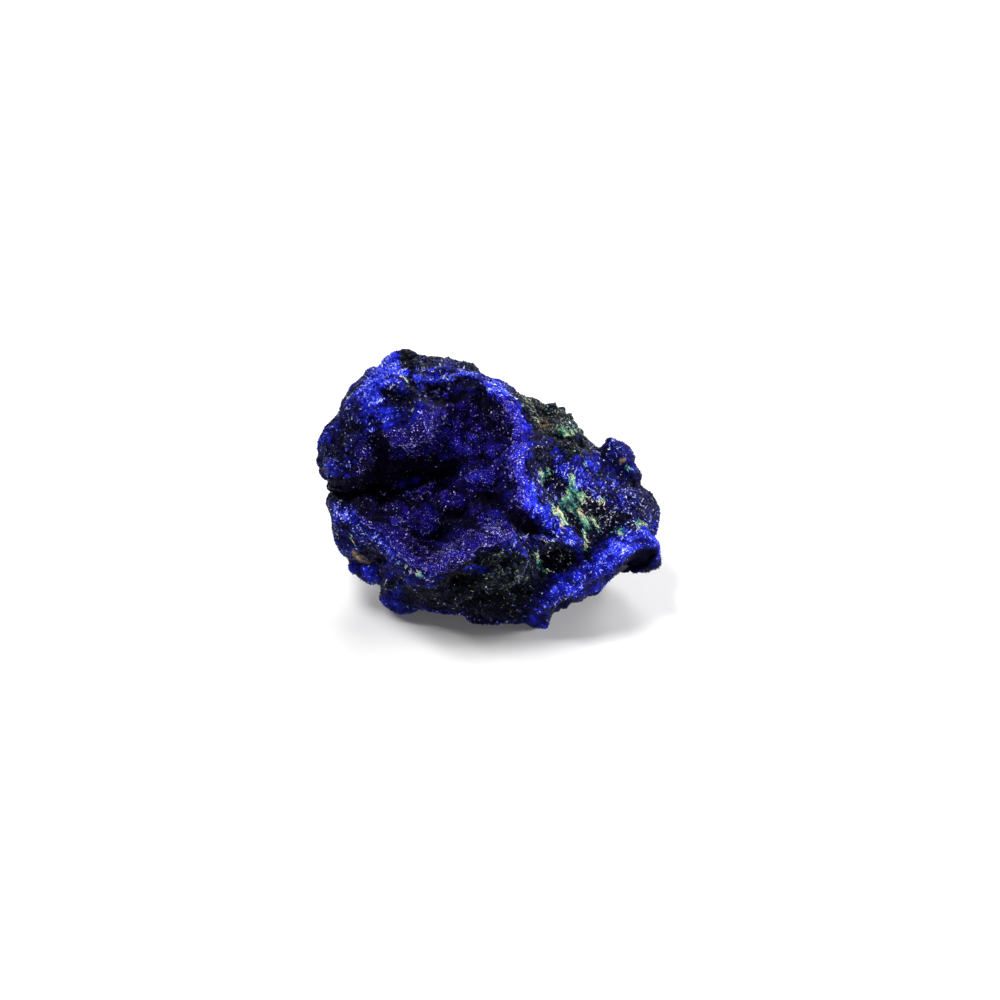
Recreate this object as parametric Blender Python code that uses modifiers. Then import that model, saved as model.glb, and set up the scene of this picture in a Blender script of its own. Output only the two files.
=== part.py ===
"""An azurite specimen: a lump of massive azurite and dark matrix, with a hollow lined by a crust of small crystals.

Two solids are made. azurite_rock is the lump itself, fused from named masses, ribs and knobs, hollowed
by a mould and broken by flat chips. hollow_crust is the thin crystal crust that lines the hollow.

The lump is shaped face on: X to the right, Z up and -Y towards whoever looks into the hollow, in
millimetres from the middle of the face. It is then leaned back by FACE_LEAN onto the side that it rests
on, its feet are ground flat, and its origin is put at the middle of its box, on the ground.
"""

import math
from dataclasses import dataclass

import bmesh
import bpy
import numpy as np
from mathutils import Matrix, Vector, noise
from mathutils.bvhtree import BVHTree

MM = 0.001

# ---------------------------------------------------------------- driving dimensions, millimetres
FACE_LEAN = math.radians(38)  # how far the face leans back from upright
FACE_HEIGHT = 11.6  # from the ground up to the middle of the face
FUSE_VOXEL = 0.50  # how finely the masses are fused
CRUST_VOXEL = 0.35
ROCK_TRIANGLES = 6400
CRUST_TRIANGLES = 3400
CRUST_GAP = 0.40  # between the crust and the wall that it lines
CRUST_THICKNESS = 0.95
CRUST_REACH = 0.2  # how far beyond the mould of the hollow the crust still grows
CRYSTAL = 1.5  # width of the crust's largest crystals
GROUND = 60.0  # side of the block that the feet are ground on
CHIP_FLATNESS = 0.85  # 1 would make a flat break truly flat
SHARP = math.radians(30)  # edges sharper than this stay crisp

MASSIVE_BLUE = (0.010, 0.006, 0.110)
DRUSE_BLUE = (0.005, 0.002, 0.065)


@dataclass(frozen=True)
class Mass:
    """One rounded mass: an ellipsoid rolled clockwise in the face and then pitched about X."""

    name: str
    centre: tuple
    radii: tuple
    roll: float = 0.0
    pitch: float = 0.0

    def matrix(self, grow=0.0):
        """The matrix that turns a unit sphere into this mass, grown by that many millimetres."""
        turn = Matrix.Rotation(math.radians(self.roll), 4, "Y")
        turn = turn @ Matrix.Rotation(math.radians(self.pitch), 4, "X")
        size = Matrix.Diagonal([r + grow for r in self.radii] + [1.0])
        return Matrix.Translation(self.centre) @ turn @ size


# The masses that make the lump, from the largest to the smallest.
BODY = (
    Mass("core", (-0.5, 3.0, 0.3), (13.5, 8.5, 9.5), roll=24),
    Mass("head", (-9.0, 0.8, 6.6), (7.4, 7.6, 6.2)),
    Mass("head lobe", (-9.8, -3.4, 8.6), (3.8, 3.6, 3.2), roll=20),
    Mass("left shoulder", (-12.8, 0.4, 3.6), (5.4, 6.0, 5.2)),
    Mass("top crest", (-6.4, 3.6, 10.1), (5.6, 4.6, 3.8), roll=8),
    Mass("left shell", (-12.0, 0.8, -3.6), (4.6, 6.4, 5.2), roll=-30),
    Mass("belly", (-4.0, 0.6, -7.6), (8.4, 6.4, 5.4), roll=6),
    Mass("right belly", (3.0, 0.2, -8.6), (5.6, 5.8, 5.4), roll=10),
    Mass("right mass", (8.4, 1.8, -2.8), (8.4, 6.8, 6.4), roll=36),
    Mass("right end", (13.4, 1.0, -3.6), (3.9, 5.0, 4.4), roll=60),
    Mass("right crest", (10.2, 2.6, 0.4), (5.0, 5.0, 3.4), roll=42),
    Mass("back slope", (3.4, 4.0, 4.9), (7.2, 5.6, 4.5), roll=26),
    Mass("right flank", (6.8, -0.4, 2.0), (4.8, 4.6, 4.6), roll=30),
    Mass("flap root", (4.8, -3.6, -3.0), (3.4, 3.8, 3.2), roll=40),
    Mass("top flank", (-2.0, 0.4, 10.0), (5.4, 3.0, 2.0), roll=12),
    Mass("lip root left", (-10.6, -2.4, -6.0), (3.6, 3.2, 2.2), roll=40),
    Mass("lip root", (-4.6, -4.0, -9.4), (4.0, 3.6, 2.4)),
    Mass("lip root right", (0.6, -4.2, -8.0), (4.6, 4.0, 2.8), roll=-10),
    Mass("shoulder knob", (6.6, 1.8, 6.6), (2.4, 2.6, 2.0), roll=30),
    Mass("back lump", (-3.8, 5.4, 11.6), (3.2, 3.2, 2.3), roll=20),
    Mass("peak", (-9.2, 1.8, 12.4), (2.6, 2.6, 1.8), roll=-20),
    Mass("side bead high", (-12.6, 3.6, 12.1), (0.9, 0.9, 0.8)),
    Mass("side bead low", (-13.4, 3.4, 10.7), (0.9, 1.0, 0.8)),
    Mass("left knob", (-14.8, -3.0, 2.2), (2.7, 2.7, 2.2)),
    Mass("left point", (-16.0, -0.6, -1.7), (1.4, 1.8, 1.4)),
    Mass("left foot", (-9.5, 1.0, -11.4), (2.2, 2.3, 1.9)),
    Mass("right foot", (5.2, -0.6, -12.9), (1.7, 2.3, 2.1)),
    Mass("belly foot", (0.0, -0.2, -12.2), (4.6, 3.0, 1.9), roll=10),
    Mass("right knob", (13.2, 1.2, 2.9), (1.8, 2.0, 2.0)),
    Mass("knob corner", (12.7, 1.0, 4.3), (0.8, 1.2, 0.9), roll=-20),
    Mass("back foot left", (-6.6, 8.2, -2.9), (5.2, 4.4, 4.4), roll=10),
    Mass("back foot right", (6.4, 7.6, -3.6), (5.2, 4.4, 4.2), roll=20),
    Mass("back", (-1.0, 8.6, 2.6), (8.6, 4.2, 5.6), roll=14),
    Mass("tip", (16.0, -1.8, -6.9), (1.8, 2.4, 1.6), roll=20),
    Mass("underside", (9.0, -0.6, -10.0), (3.4, 3.6, 1.9), roll=-30),
)

# Ribs stand round the hollow and along the lower right edge. Each is a row of (x, y, z, radius).
RIBS = {
    "right rim": (
        (0.8, -2.4, 9.9, 1.1), (2.8, -3.8, 8.1, 1.3), (4.2, -5.0, 5.6, 1.4), (4.4, -5.8, 3.2, 1.4),
        (3.6, -6.6, 0.4, 1.4), (4.2, -7.2, -2.2, 1.4), (6.2, -7.0, -4.2, 1.4), (8.6, -6.0, -5.6, 1.2),
    ),
    "top rim": (
        (-9.0, -3.2, 10.6, 1.6), (-5.6, -2.6, 11.2, 1.2), (-2.2, -2.2, 11.0, 1.1), (0.8, -2.4, 9.9, 1.1),
    ),
    "lower lip": (
        (-15.2, -3.0, -3.2, 1.2), (-12.6, -5.2, -4.4, 1.3), (-9.8, -6.6, -6.6, 1.3), (-6.4, -7.4, -9.2, 1.4),
        (-3.4, -7.8, -7.8, 1.4), (-0.6, -8.0, -6.2, 1.4), (3.0, -7.8, -5.9, 1.2), (6.0, -7.0, -5.6, 1.1),
    ),
    "lower right band": (
        (5.0, -3.6, -11.4, 1.6), (8.4, -4.8, -9.2, 1.6), (12.0, -4.6, -7.4, 1.5), (16.0, -2.8, -6.0, 1.3),
    ),
}

# The mould of the hollow, which opens towards -Y, and of the smaller pits.
HOLLOW = (
    Mass("upper bowl", (-2.0, -7.4, 5.2), (5.6, 8.0, 5.2), roll=10),
    Mass("corner pocket", (-0.2, -5.2, 7.0), (3.4, 4.6, 2.6), roll=20),
    Mass("left bowl", (-9.0, -6.4, 3.0), (4.8, 5.6, 2.8), roll=8),
    Mass("crevice", (-10.2, -3.6, 0.0), (6.8, 4.6, 1.6), roll=2),
    Mass("deep crevice", (-7.2, -3.0, 0.6), (4.8, 5.8, 2.2), roll=4),
    Mass("floor", (-5.6, -8.2, -3.0), (4.8, 7.2, 5.4)),
    Mass("floor left", (-10.0, -6.6, -1.8), (4.4, 5.6, 2.6), roll=10),
    Mass("floor right", (-0.8, -8.6, -1.8), (4.6, 7.4, 3.8), roll=-8),
    Mass("right pocket", (1.2, -6.8, 0.8), (2.4, 4.2, 3.4)),
)
PITS = (
    Mass("flap pocket", (3.0, -8.6, -4.0), (2.3, 2.4, 1.0), roll=32),
    Mass("left notch", (-18.0, -1.6, 0.0), (1.5, 3.4, 0.9)),
    Mass("head pit", (-9.4, -6.4, 9.0), (1.3, 1.5, 0.9), roll=20),
    Mass("high pit", (-8.2, -6.0, 10.6), (1.0, 1.2, 0.5), roll=10),
    Mass("tip cave", (14.8, -4.6, -8.6), (2.5, 3.2, 1.0), roll=-26),
    Mass("knob pit", (13.2, -1.0, 2.2), (1.3, 1.3, 1.0)),
    Mass("knob notch", (11.5, 1.0, 5.2), (0.6, 4.0, 1.2), roll=15),
    Mass("shell pit", (-11.0, -5.6, -7.4), (1.4, 1.6, 1.0), roll=30),
    Mass("matrix pit", (7.2, -7.2, -7.6), (1.3, 1.4, 0.9)),
    Mass("underside pit", (-2.2, -8.2, -11.0), (3.0, 1.8, 1.2), roll=-4),
    Mass("back pit", (3.0, 13.0, 1.0), (2.6, 1.8, 1.8), roll=20),
    Mass("back groove", (-6.0, 12.4, 3.6), (3.8, 1.4, 1.0), roll=35),
)

# Flat breaks: (direction that the break faces, how far it lies from the middle of the face).
CHIPS = (
    ((0.15, 1.0, 0.12), 11.4),
    ((-0.72, 0.68, 0.14), 13.4),
    ((0.66, 0.74, 0.10), 12.0),
    ((-0.10, 0.66, 0.74), 13.2),
    ((0.45, 0.55, 0.70), 11.4),
)

# Knobs that stand in the hollow, grown over by the crust.
KNOBS = (
    Mass("upper mound", (-1.8, 0.7, 3.8), (5.2, 2.8, 3.8), roll=20),
    Mass("left mound", (-11.2, -0.9, 4.2), (3.0, 2.2, 2.0)),
    Mass("middle mound", (-7.2, 0.1, 3.9), (2.2, 2.0, 1.8)),
    Mass("floor mound", (-3.4, -0.8, -2.2), (3.6, 2.2, 2.4)),
    Mass("floor left mound", (-8.4, -1.8, -3.4), (2.6, 1.9, 1.6)),
    Mass("right wall mound", (0.6, -2.0, -0.2), (2.6, 2.0, 2.6)),
    Mass("floor right mound", (-0.6, -3.4, -4.8), (2.6, 1.8, 1.5)),
)


def fresh_scene():
    """Clears the scene and returns a collection for the parts and one for the cutters."""
    for obj in list(bpy.data.objects):
        bpy.data.objects.remove(obj, do_unlink=True)
    made = []
    for name in ("azurite_specimen", "cutters"):
        collection = bpy.data.collections.new(name)
        bpy.context.scene.collection.children.link(collection)
        made.append(collection)
    return made


def fused(name, masses, ribs, collection, grow=0.0, base=None):
    """One closed object from masses and ribs, fused with an optional base object by a voxel Remesh."""
    bm = bmesh.new()
    if base is not None:
        bm.from_mesh(base.data)
    to_metres = Matrix.Scale(MM, 4)
    for mass in masses:
        bmesh.ops.create_icosphere(bm, subdivisions=4, radius=1.0, matrix=to_metres @ mass.matrix(grow))
    for rib in ribs:
        add_rib(bm, rib, to_metres)
    mesh = bpy.data.meshes.new(name)
    bm.to_mesh(mesh)
    bm.free()
    obj = bpy.data.objects.new(name, mesh)
    collection.objects.link(obj)
    remesh = obj.modifiers.new("fuse", "REMESH")
    remesh.mode = "VOXEL"
    remesh.voxel_size = FUSE_VOXEL * MM
    bake(obj)
    return obj


def add_rib(bm, rib, to_metres):
    """Adds a rib as overlapping balls along its run."""
    for (xa, ya, za, ra), (xb, yb, zb, rb) in zip(rib, rib[1:]):
        start, end = Vector((xa, ya, za)), Vector((xb, yb, zb))
        steps = max(2, round((end - start).length / (0.5 * min(ra, rb))))
        for i in range(steps + 1):
            t = i / steps
            place = Matrix.Translation(start.lerp(end, t)) @ Matrix.Scale(ra + (rb - ra) * t, 4)
            bmesh.ops.create_icosphere(bm, subdivisions=2, radius=1.0, matrix=to_metres @ place)


def bake(obj):
    """Makes what the object's modifiers give its own mesh."""
    graph = bpy.context.evaluated_depsgraph_get()
    graph.update()
    obj.data = bpy.data.meshes.new_from_object(obj.evaluated_get(graph))
    obj.modifiers.clear()


def cut(obj, cutter, operation="DIFFERENCE"):
    """Takes the cutter's shape out of the object, or keeps only what lies in it with INTERSECT."""
    cutter.hide_render = True
    cutter.display_type = "WIRE"
    boolean = obj.modifiers.new("cut", "BOOLEAN")
    boolean.operation = operation
    boolean.solver = "EXACT"
    boolean.object = cutter
    bake(obj)


def smooth(obj, factor, times):
    """Rounds the creases where masses meet."""
    modifier = obj.modifiers.new("smooth", "SMOOTH")
    modifier.factor = factor
    modifier.iterations = times
    bake(obj)


def hollow_depth(point, to_unit_balls):
    """How far inside the mould of the hollow a point lies: 1 at a mass's middle, 0 on its skin, else negative."""
    return max(1.0 - (matrix @ point).length for matrix in to_unit_balls)


def ledges(point, size):
    """Broken steps: flat cells of that size with sharp drops between them, from -0.5 to 0.5."""
    distances, centres = noise.voronoi(point / size)
    return noise.cell(centres[0] * 7.3) * 0.5 * min(1.0, (distances[1] - distances[0]) * 3.0)


def roughness(point, depth):
    """How far the lump's skin stands out at a point of the face frame with that hollow depth, in millimetres."""
    inside = min(1.0, max(0.0, depth * 6.0 + 0.6))
    broken = 0.55 * ledges(point, 4.2) + 0.30 * ledges(point + Vector((9, 4, 2)), 2.0)
    broken += 0.42 * noise.fractal(point * 0.42, 0.9, 2.1, 3)
    near, *_ = noise.voronoi(point / 2.1)
    rounded = 0.55 * (0.45 - near[0]) + 0.22 * noise.noise(point * 1.3)
    return broken * (1.0 - inside) + rounded * inside


def chip(obj):
    """Flattens what stands out past each flat break."""
    for facing, distance in CHIPS:
        direction = Vector(facing).normalized()
        for vertex in obj.data.vertices:
            over = vertex.co.dot(direction) - distance * MM
            if over > 0:
                vertex.co -= direction * over * CHIP_FLATNESS


def push_out(obj, height_at):
    """Moves each vertex along its normal by height_at(its place in millimetres), itself in millimetres."""
    vertices = obj.data.vertices
    moved = [v.co + v.normal * (height_at(v.co / MM) * MM) for v in vertices]
    for vertex, place in zip(vertices, moved):
        vertex.co = place


def roughen(obj):
    """Gives the lump its broken outer skin and its rounded growths in the hollow."""
    to_unit_balls = [mass.matrix().inverted() for mass in HOLLOW]
    push_out(obj, lambda point: roughness(point, hollow_depth(point, to_unit_balls)))


def thin_out(obj, triangles):
    """Brings the object down to that many triangles."""
    obj.data.calc_loop_triangles()
    modifier = obj.modifiers.new("thin out", "DECIMATE")
    modifier.ratio = triangles / len(obj.data.loop_triangles)
    modifier.use_collapse_triangulate = True
    bake(obj)


def rock(parts, cutters):
    """The lump, face on and not yet leaned back."""
    body = fused("body", BODY, RIBS.values(), cutters)
    mould = fused("mould", HOLLOW + PITS, (), cutters)
    cut(body, mould)
    lump = fused("azurite_rock", KNOBS, (), parts, base=body)
    bpy.data.objects.remove(body)
    smooth(lump, 0.5, 3)
    chip(lump)
    roughen(lump)
    thin_out(lump, ROCK_TRIANGLES)
    return lump


def keep_largest(obj):
    """Deletes all but the largest connected piece of the object."""
    bm = bmesh.new()
    bm.from_mesh(obj.data)
    left, best = set(bm.faces), set()
    while left:
        piece, front = set(), [left.pop()]
        while front:
            face = front.pop()
            piece.add(face)
            for other in {f for edge in face.edges for f in edge.link_faces} & left:
                left.remove(other)
                front.append(other)
        if len(piece) > len(best):
            best = piece
    bmesh.ops.delete(bm, geom=[f for f in bm.faces if f not in best], context="FACES")
    bm.to_mesh(obj.data)
    bm.free()


def crystal_faces(point):
    """How far the crust's crystals stand out at a point, in millimetres: tilted flat tops with drops between."""
    distances, centres = noise.voronoi(point / CRYSTAL)
    tilt = noise.cell_vector(centres[0] * 5.1) - Vector((0.5, 0.5, 0.5))
    top = 0.35 * min(1.0, (distances[1] - distances[0]) * 2.5)
    return 0.5 * tilt.dot(point / CRYSTAL - centres[0]) + top - 0.2


def close(obj):
    """Makes one clean closed skin of whatever the object's faces enclose."""
    remesh = obj.modifiers.new("close", "REMESH")
    remesh.mode = "VOXEL"
    remesh.voxel_size = CRUST_VOXEL * MM
    bake(obj)
    keep_largest(obj)


def skin_of(lump, name, lift, collection):
    """A closed copy of the lump, swollen by lift millimetres."""
    obj = bpy.data.objects.new(name, lump.data.copy())
    collection.objects.link(obj)
    swell = obj.modifiers.new("swell", "DISPLACE")
    swell.strength = lift * MM
    swell.mid_level = 0.0
    bake(obj)
    close(obj)
    return obj


def grow_crystals(lining, lump):
    """Raises crystals on the side of the lining that faces away from the lump."""
    bm = bmesh.new()
    bm.from_mesh(lump.data)
    wall = BVHTree.FromBMesh(bm)
    bm.free()

    def height_at(point):
        *_, distance = wall.find_nearest(point * MM)
        free = min(1.0, max(0.0, (distance / MM - CRUST_GAP) / CRUST_THICKNESS))
        return free * crystal_faces(point)

    push_out(lining, height_at)


def crust(lump, parts, cutters):
    """The crystal crust: the layer between two swollen skins of the lump, within reach of the hollow."""
    lining = skin_of(lump, "hollow_crust", CRUST_GAP + CRUST_THICKNESS, parts)
    reach = fused("reach", HOLLOW, (), cutters, grow=CRUST_REACH)
    cut(lining, reach, "INTERSECT")
    cut(lining, skin_of(lump, "wall", CRUST_GAP, cutters))
    close(lining)
    grow_crystals(lining, lump)
    thin_out(lining, CRUST_TRIANGLES)
    return lining


def stand(objects, cutters):
    """Leans the face back, grinds the feet flat on the ground and puts the origin under the middle."""
    place = Matrix.Translation((0, 0, FACE_HEIGHT * MM)) @ Matrix.Rotation(-FACE_LEAN, 4, "X")
    for obj in objects:
        obj.data.transform(place)
    bm = bmesh.new()
    bmesh.ops.create_cube(bm, size=GROUND * MM, matrix=Matrix.Translation((0, 0, -GROUND * MM / 2)))
    mesh = bpy.data.meshes.new("ground")
    bm.to_mesh(mesh)
    bm.free()
    ground = bpy.data.objects.new("ground", mesh)
    cutters.objects.link(ground)
    lump = objects[0]
    cut(lump, ground)
    corners = np.array([v.co for v in lump.data.vertices])
    middle = (corners.min(axis=0) + corners.max(axis=0)) / 2
    for obj in objects:
        obj.data.transform(Matrix.Translation((-middle[0], -middle[1], 0)))


def finish(obj, colour, surface_roughness):
    """Gives the object its own material and shades it smooth between sharp crystal edges."""
    material = bpy.data.materials.new(obj.name)
    material.use_nodes = True
    shader = material.node_tree.nodes["Principled BSDF"]
    shader.inputs["Base Color"].default_value = (*colour, 1.0)
    shader.inputs["Roughness"].default_value = surface_roughness
    shader.inputs["Metallic"].default_value = 0.0
    obj.data.materials.clear()
    obj.data.materials.append(material)
    obj.data.shade_smooth()
    obj.data.set_sharp_from_angle(angle=SHARP)


def main():
    parts, cutters = fresh_scene()
    lump = rock(parts, cutters)
    lining = crust(lump, parts, cutters)
    stand([lump, lining], cutters)
    finish(lump, MASSIVE_BLUE, 0.55)
    finish(lining, DRUSE_BLUE, 0.35)


if __name__ == "__main__":
    main()
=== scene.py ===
"""Dresses the azurite specimen: the skins of the lump and of its crust, and the crystals that grow on them.

Lengths that belong to the stone are in millimetres of its face frame: X to the right, Z up the face and -Y
out of it towards whoever looks into the hollow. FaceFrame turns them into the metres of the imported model.
"""

import logging
import math
from dataclasses import dataclass, field
from enum import Enum
from typing import Sequence, Union

import bpy
import numpy as np
from mathutils import Matrix, Vector
from mathutils.bvhtree import BVHTree
from mathutils.kdtree import KDTree


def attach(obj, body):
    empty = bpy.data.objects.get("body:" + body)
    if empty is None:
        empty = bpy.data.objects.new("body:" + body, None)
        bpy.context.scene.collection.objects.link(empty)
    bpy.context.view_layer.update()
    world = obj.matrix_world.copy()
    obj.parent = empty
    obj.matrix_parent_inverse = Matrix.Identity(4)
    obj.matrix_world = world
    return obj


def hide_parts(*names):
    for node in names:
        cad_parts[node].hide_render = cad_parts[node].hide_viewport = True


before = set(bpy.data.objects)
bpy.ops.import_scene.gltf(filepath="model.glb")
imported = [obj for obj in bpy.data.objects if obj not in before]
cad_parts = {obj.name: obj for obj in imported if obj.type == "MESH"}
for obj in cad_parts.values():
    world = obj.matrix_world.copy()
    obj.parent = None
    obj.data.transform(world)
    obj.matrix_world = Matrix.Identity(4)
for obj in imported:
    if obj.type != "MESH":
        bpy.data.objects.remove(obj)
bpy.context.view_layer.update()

log = logging.getLogger("azurite")

MM = 0.001
BODY = "root"

Colour = tuple[float, float, float]
Stops = tuple[tuple[float, Colour], ...]
Line = tuple[tuple[float, float], ...]
Step = tuple[str, dict]
Array = np.ndarray


# ---------------------------------------------------------------- where things are

@dataclass(frozen=True)
class FaceFrame:
    """The frame that the face of the stone is described in, in millimetres.

    Attributes:
        middle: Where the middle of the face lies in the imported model, in millimetres.
        lean_deg: How far the face leans back from upright.
    """

    middle: tuple[float, float, float] = (0.209, -0.210, 11.6)
    lean_deg: float = 38.0

    def turn(self) -> Array:
        """The rotation that carries a direction of the face frame into the model."""
        return np.array(Matrix.Rotation(-math.radians(self.lean_deg), 3, "X"))

    def from_model(self, points: Array) -> Array:
        """Points of the model, in metres, as points of the face frame, in millimetres."""
        return (points / MM - np.array(self.middle)) @ self.turn()

    def direction_from_model(self, directions: Array) -> Array:
        """Directions of the model as directions of the face frame."""
        return directions @ self.turn()

    def to_model(self, point: Sequence[float]) -> Vector:
        """A point of the face frame, in millimetres, as a point of the model, in metres."""
        return Vector((self.turn() @ np.array(point) + np.array(self.middle)) * MM)

    def direction_to_model(self, direction: Sequence[float]) -> Vector:
        """A direction of the face frame as a direction of the model."""
        return Vector(self.turn() @ np.array(direction))

    def on_ground(self, points: Array) -> Array:
        """Points of the face frame as points of the model, in metres, none of them under the ground.

        Args:
            points: One row of three a point, in millimetres.

        Returns:
            The points in the model, one row a point.
        """
        world = (points @ self.turn().T + np.array(self.middle)) * MM
        world[:, 2] = np.maximum(world[:, 2], 0.0)
        return world


FACE = FaceFrame()
OUTWARD = np.array((0.0, -1.0, 0.0))


# ---------------------------------------------------------------- noise on arrays of points

def ramp(values: Array, low: float, high: float) -> Array:
    """Values eased from 0 at low to 1 at high."""
    part = np.clip((values - low) / (high - low), 0.0, 1.0)
    return part * part * (3.0 - 2.0 * part)


# The numbers that a cell's bits are mixed with
CELL_PRIMES = (73856093, 19349663, 83492791)
SEED_STEP, CHANNEL_STEP = 7919, 104729
MIXERS = (0x9E3779B97F4A7C15, 0xBF58476D1CE4E5B9)
LOW_32_BITS, LOW_24_BITS = 0xFFFFFFFF, 0xFFFFFF


@dataclass(frozen=True)
class Noise:
    """Repeatable noise, worked out for whole arrays of points at once.

    Attributes:
        seed: Sets one pattern apart from another.
    """

    seed: int = 0

    def hashed(self, cells: Array, channel: int = 0) -> Array:
        """A random number from 0 to 1 for each whole-numbered cell, by multiplying and mixing its bits.

        Args:
            cells: Whole numbers, one row of three a cell.
            channel: Which of the cell's random numbers is wanted.

        Returns:
            One number a cell.
        """
        mixed = np.uint64((self.seed * SEED_STEP + channel * CHANNEL_STEP + 1) & LOW_32_BITS)
        for axis, prime in enumerate(CELL_PRIMES):
            mixed = mixed ^ cells[..., axis].astype(np.uint64) * np.uint64(prime)
        mixed = mixed * np.uint64(MIXERS[0])
        mixed = (mixed ^ (mixed >> np.uint64(29))) * np.uint64(MIXERS[1])
        mixed = mixed ^ (mixed >> np.uint64(32))
        return (mixed & np.uint64(LOW_24_BITS)).astype(np.float64) / float(LOW_24_BITS + 1)

    def smooth(self, points: Array, size: float) -> Array:
        """Soft noise from -1 to 1 with lumps of that size.

        Args:
            points: One row of three a point.
            size: The size of the lumps.

        Returns:
            One number a point.
        """
        scaled = points / size
        cells = np.floor(scaled).astype(np.int64)
        part = ramp(scaled - cells, 0.0, 1.0)
        total = np.zeros(len(points))
        for corner in np.ndindex(2, 2, 2):
            weight = np.ones(len(points))
            for axis, side in enumerate(corner):
                weight *= part[:, axis] if side else 1.0 - part[:, axis]
            total += weight * self.hashed(cells + np.array(corner))
        return 2.0 * total - 1.0

    def cells(self, points: Array, size: float) -> tuple[Array, Array, Array]:
        """Random cells of that size.

        Args:
            points: One row of three a point.
            size: The mean distance between the cells' middles.

        Returns:
            The distances to the nearest and the next middle, in cell sizes, and a random number of the
            nearest cell.
        """
        scaled = points / size
        home = np.floor(scaled).astype(np.int64)
        nearest = np.full(len(points), np.inf)
        second = np.full(len(points), np.inf)
        label = np.zeros(len(points))
        for step in np.ndindex(3, 3, 3):
            cell = home + np.array(step) - 1
            middle = cell + np.stack([self.hashed(cell, channel) for channel in (1, 2, 3)], axis=1)
            distance = np.linalg.norm(middle - scaled, axis=1)
            closer = distance < nearest
            second = np.where(closer, nearest, np.minimum(second, distance))
            label = np.where(closer, self.hashed(cell, 4), label)
            nearest = np.where(closer, distance, nearest)
        return nearest, second, label

    def domes(self, points: Array, size: float) -> Array:
        """Rounded beads of that size and of differing heights, from 0 to 1, that meet in sharp creases.

        Args:
            points: One row of three a point.
            size: The size of the beads.

        Returns:
            One height a point.
        """
        reach, lowest = 0.85, 0.4
        nearest, _, label = self.cells(points, size)
        return (lowest + (1.0 - lowest) * label) * np.sqrt(np.clip(1.0 - (nearest / reach) ** 2, 0.0, 1.0))


@dataclass(frozen=True)
class Layer:
    """Fractal noise of one kind, which is used under its own name.

    Attributes:
        seed: Sets its pattern apart.
        size: The size of its largest lumps, in millimetres.
        octaves: How many sizes are laid over each other.
        gain: How strong each size is beside the one before.
    """

    seed: int
    size: float
    octaves: int
    gain: float = 0.5

    def at(self, points: Array) -> Array:
        """Soft noise with finer and finer noise laid over it.

        Args:
            points: One row of three a point.

        Returns:
            One number a point, from about -1 to 1.
        """
        finer, shift = 2.07, 17.3
        strengths = [self.gain**octave for octave in range(self.octaves)]
        layers = [
            strength * Noise(self.seed).smooth(points + shift * octave, self.size / finer**octave)
            for octave, strength in enumerate(strengths)
        ]
        return sum(layers) / sum(strengths)


# ---------------------------------------------------------------- shapes on the face

class Zone(Enum):
    """What the stone is made of at a place, where light, shade and sheen are painted on it, and how far it
    stands out there, each as a share from 0 to 1.
    """

    BLUE = "blue"
    BRIGHT = "bright"
    COARSE = "coarse"
    DUSTY = "dusty"
    BARE = "bare"
    OLIVE = "olive"
    MALACHITE = "malachite"
    PALE = "pale"
    LIMONITE = "limonite"
    SHADE = "shade"
    GLINT = "glint"
    MOTTLE = "mottle"
    SWELL = "swell"
    CREST = "crest"


Shares = dict[Zone, Array]


def turned(x: Array, z: Array, roll_deg: float) -> tuple[Array, Array]:
    """Distances along and across a direction that is turned clockwise from level."""
    turn = math.radians(roll_deg)
    return x * math.cos(turn) - z * math.sin(turn), x * math.sin(turn) + z * math.cos(turn)


def away_from(line: Line, x: Array, z: Array) -> Array:
    """How far places of the face lie from a line on it.

    Args:
        line: The line's points, as (x, z).
        x: How far to the right the places lie.
        z: How far up the face they lie.

    Returns:
        One distance a place.
    """
    nearest = np.full(len(x), np.inf)
    for (xa, za), (xb, zb) in zip(line, line[1:]):
        run = np.array([xb - xa, zb - za])
        t = np.clip(((x - xa) * run[0] + (z - za) * run[1]) / (run @ run), 0.0, 1.0)
        nearest = np.minimum(nearest, np.hypot(x - xa - t * run[0], z - za - t * run[1]))
    return nearest


@dataclass(frozen=True)
class Patch:
    """An oval patch of a zone on the face.

    Attributes:
        x: Middle of the patch, to the right.
        z: Middle of the patch, up the face.
        along: Half its length.
        across: Half its width.
        strength: How much it adds in its middle, or takes away where negative.
        roll: Degrees that its length turns clockwise from level.
        edge: Where its border starts and ends, as shares of its half length and half width.
    """

    x: float
    z: float
    along: float
    across: float
    strength: float = 1.0
    roll: float = 0.0
    edge: tuple[float, float] = (0.65, 1.2)

    def share(self, x: Array, z: Array) -> Array:
        """How much the patch adds at those places of the face."""
        right, up = turned(x - self.x, z - self.z, self.roll)
        return self.strength * (1.0 - ramp(np.hypot(right / self.along, up / self.across), *self.edge))


@dataclass(frozen=True)
class Band:
    """A band of a zone that follows a line on the face.

    Attributes:
        line: The points that it follows, as (x, z).
        width: Half its width.
        strength: How much it adds along the line, or takes away where negative.
        edge: Where its border starts and ends, as shares of its half width.
    """

    line: Line
    width: float
    strength: float = 1.0
    edge: tuple[float, float] = (0.55, 1.3)

    def share(self, x: Array, z: Array) -> Array:
        """How much the band adds at those places of the face."""
        return self.strength * (1.0 - ramp(away_from(self.line, x, z) / self.width, *self.edge))


@dataclass(frozen=True)
class Crest:
    """A ridge along a line on the face, or a groove where its height is negative.

    Attributes:
        line: The points that it follows, as (x, z).
        width: Half its width.
        height: How far it stands out.
        flank: How steeply its flanks start beside a straight slope.
    """

    line: Line
    width: float
    height: float
    flank: float = 1.6

    def rise(self, x: Array, z: Array) -> Array:
        """How far the ridge lifts those places of the face."""
        part = np.clip(1.0 - away_from(self.line, x, z) / self.width, 0.0, 1.0)
        return self.height * part * (self.flank - (self.flank - 1.0) * part)


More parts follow.
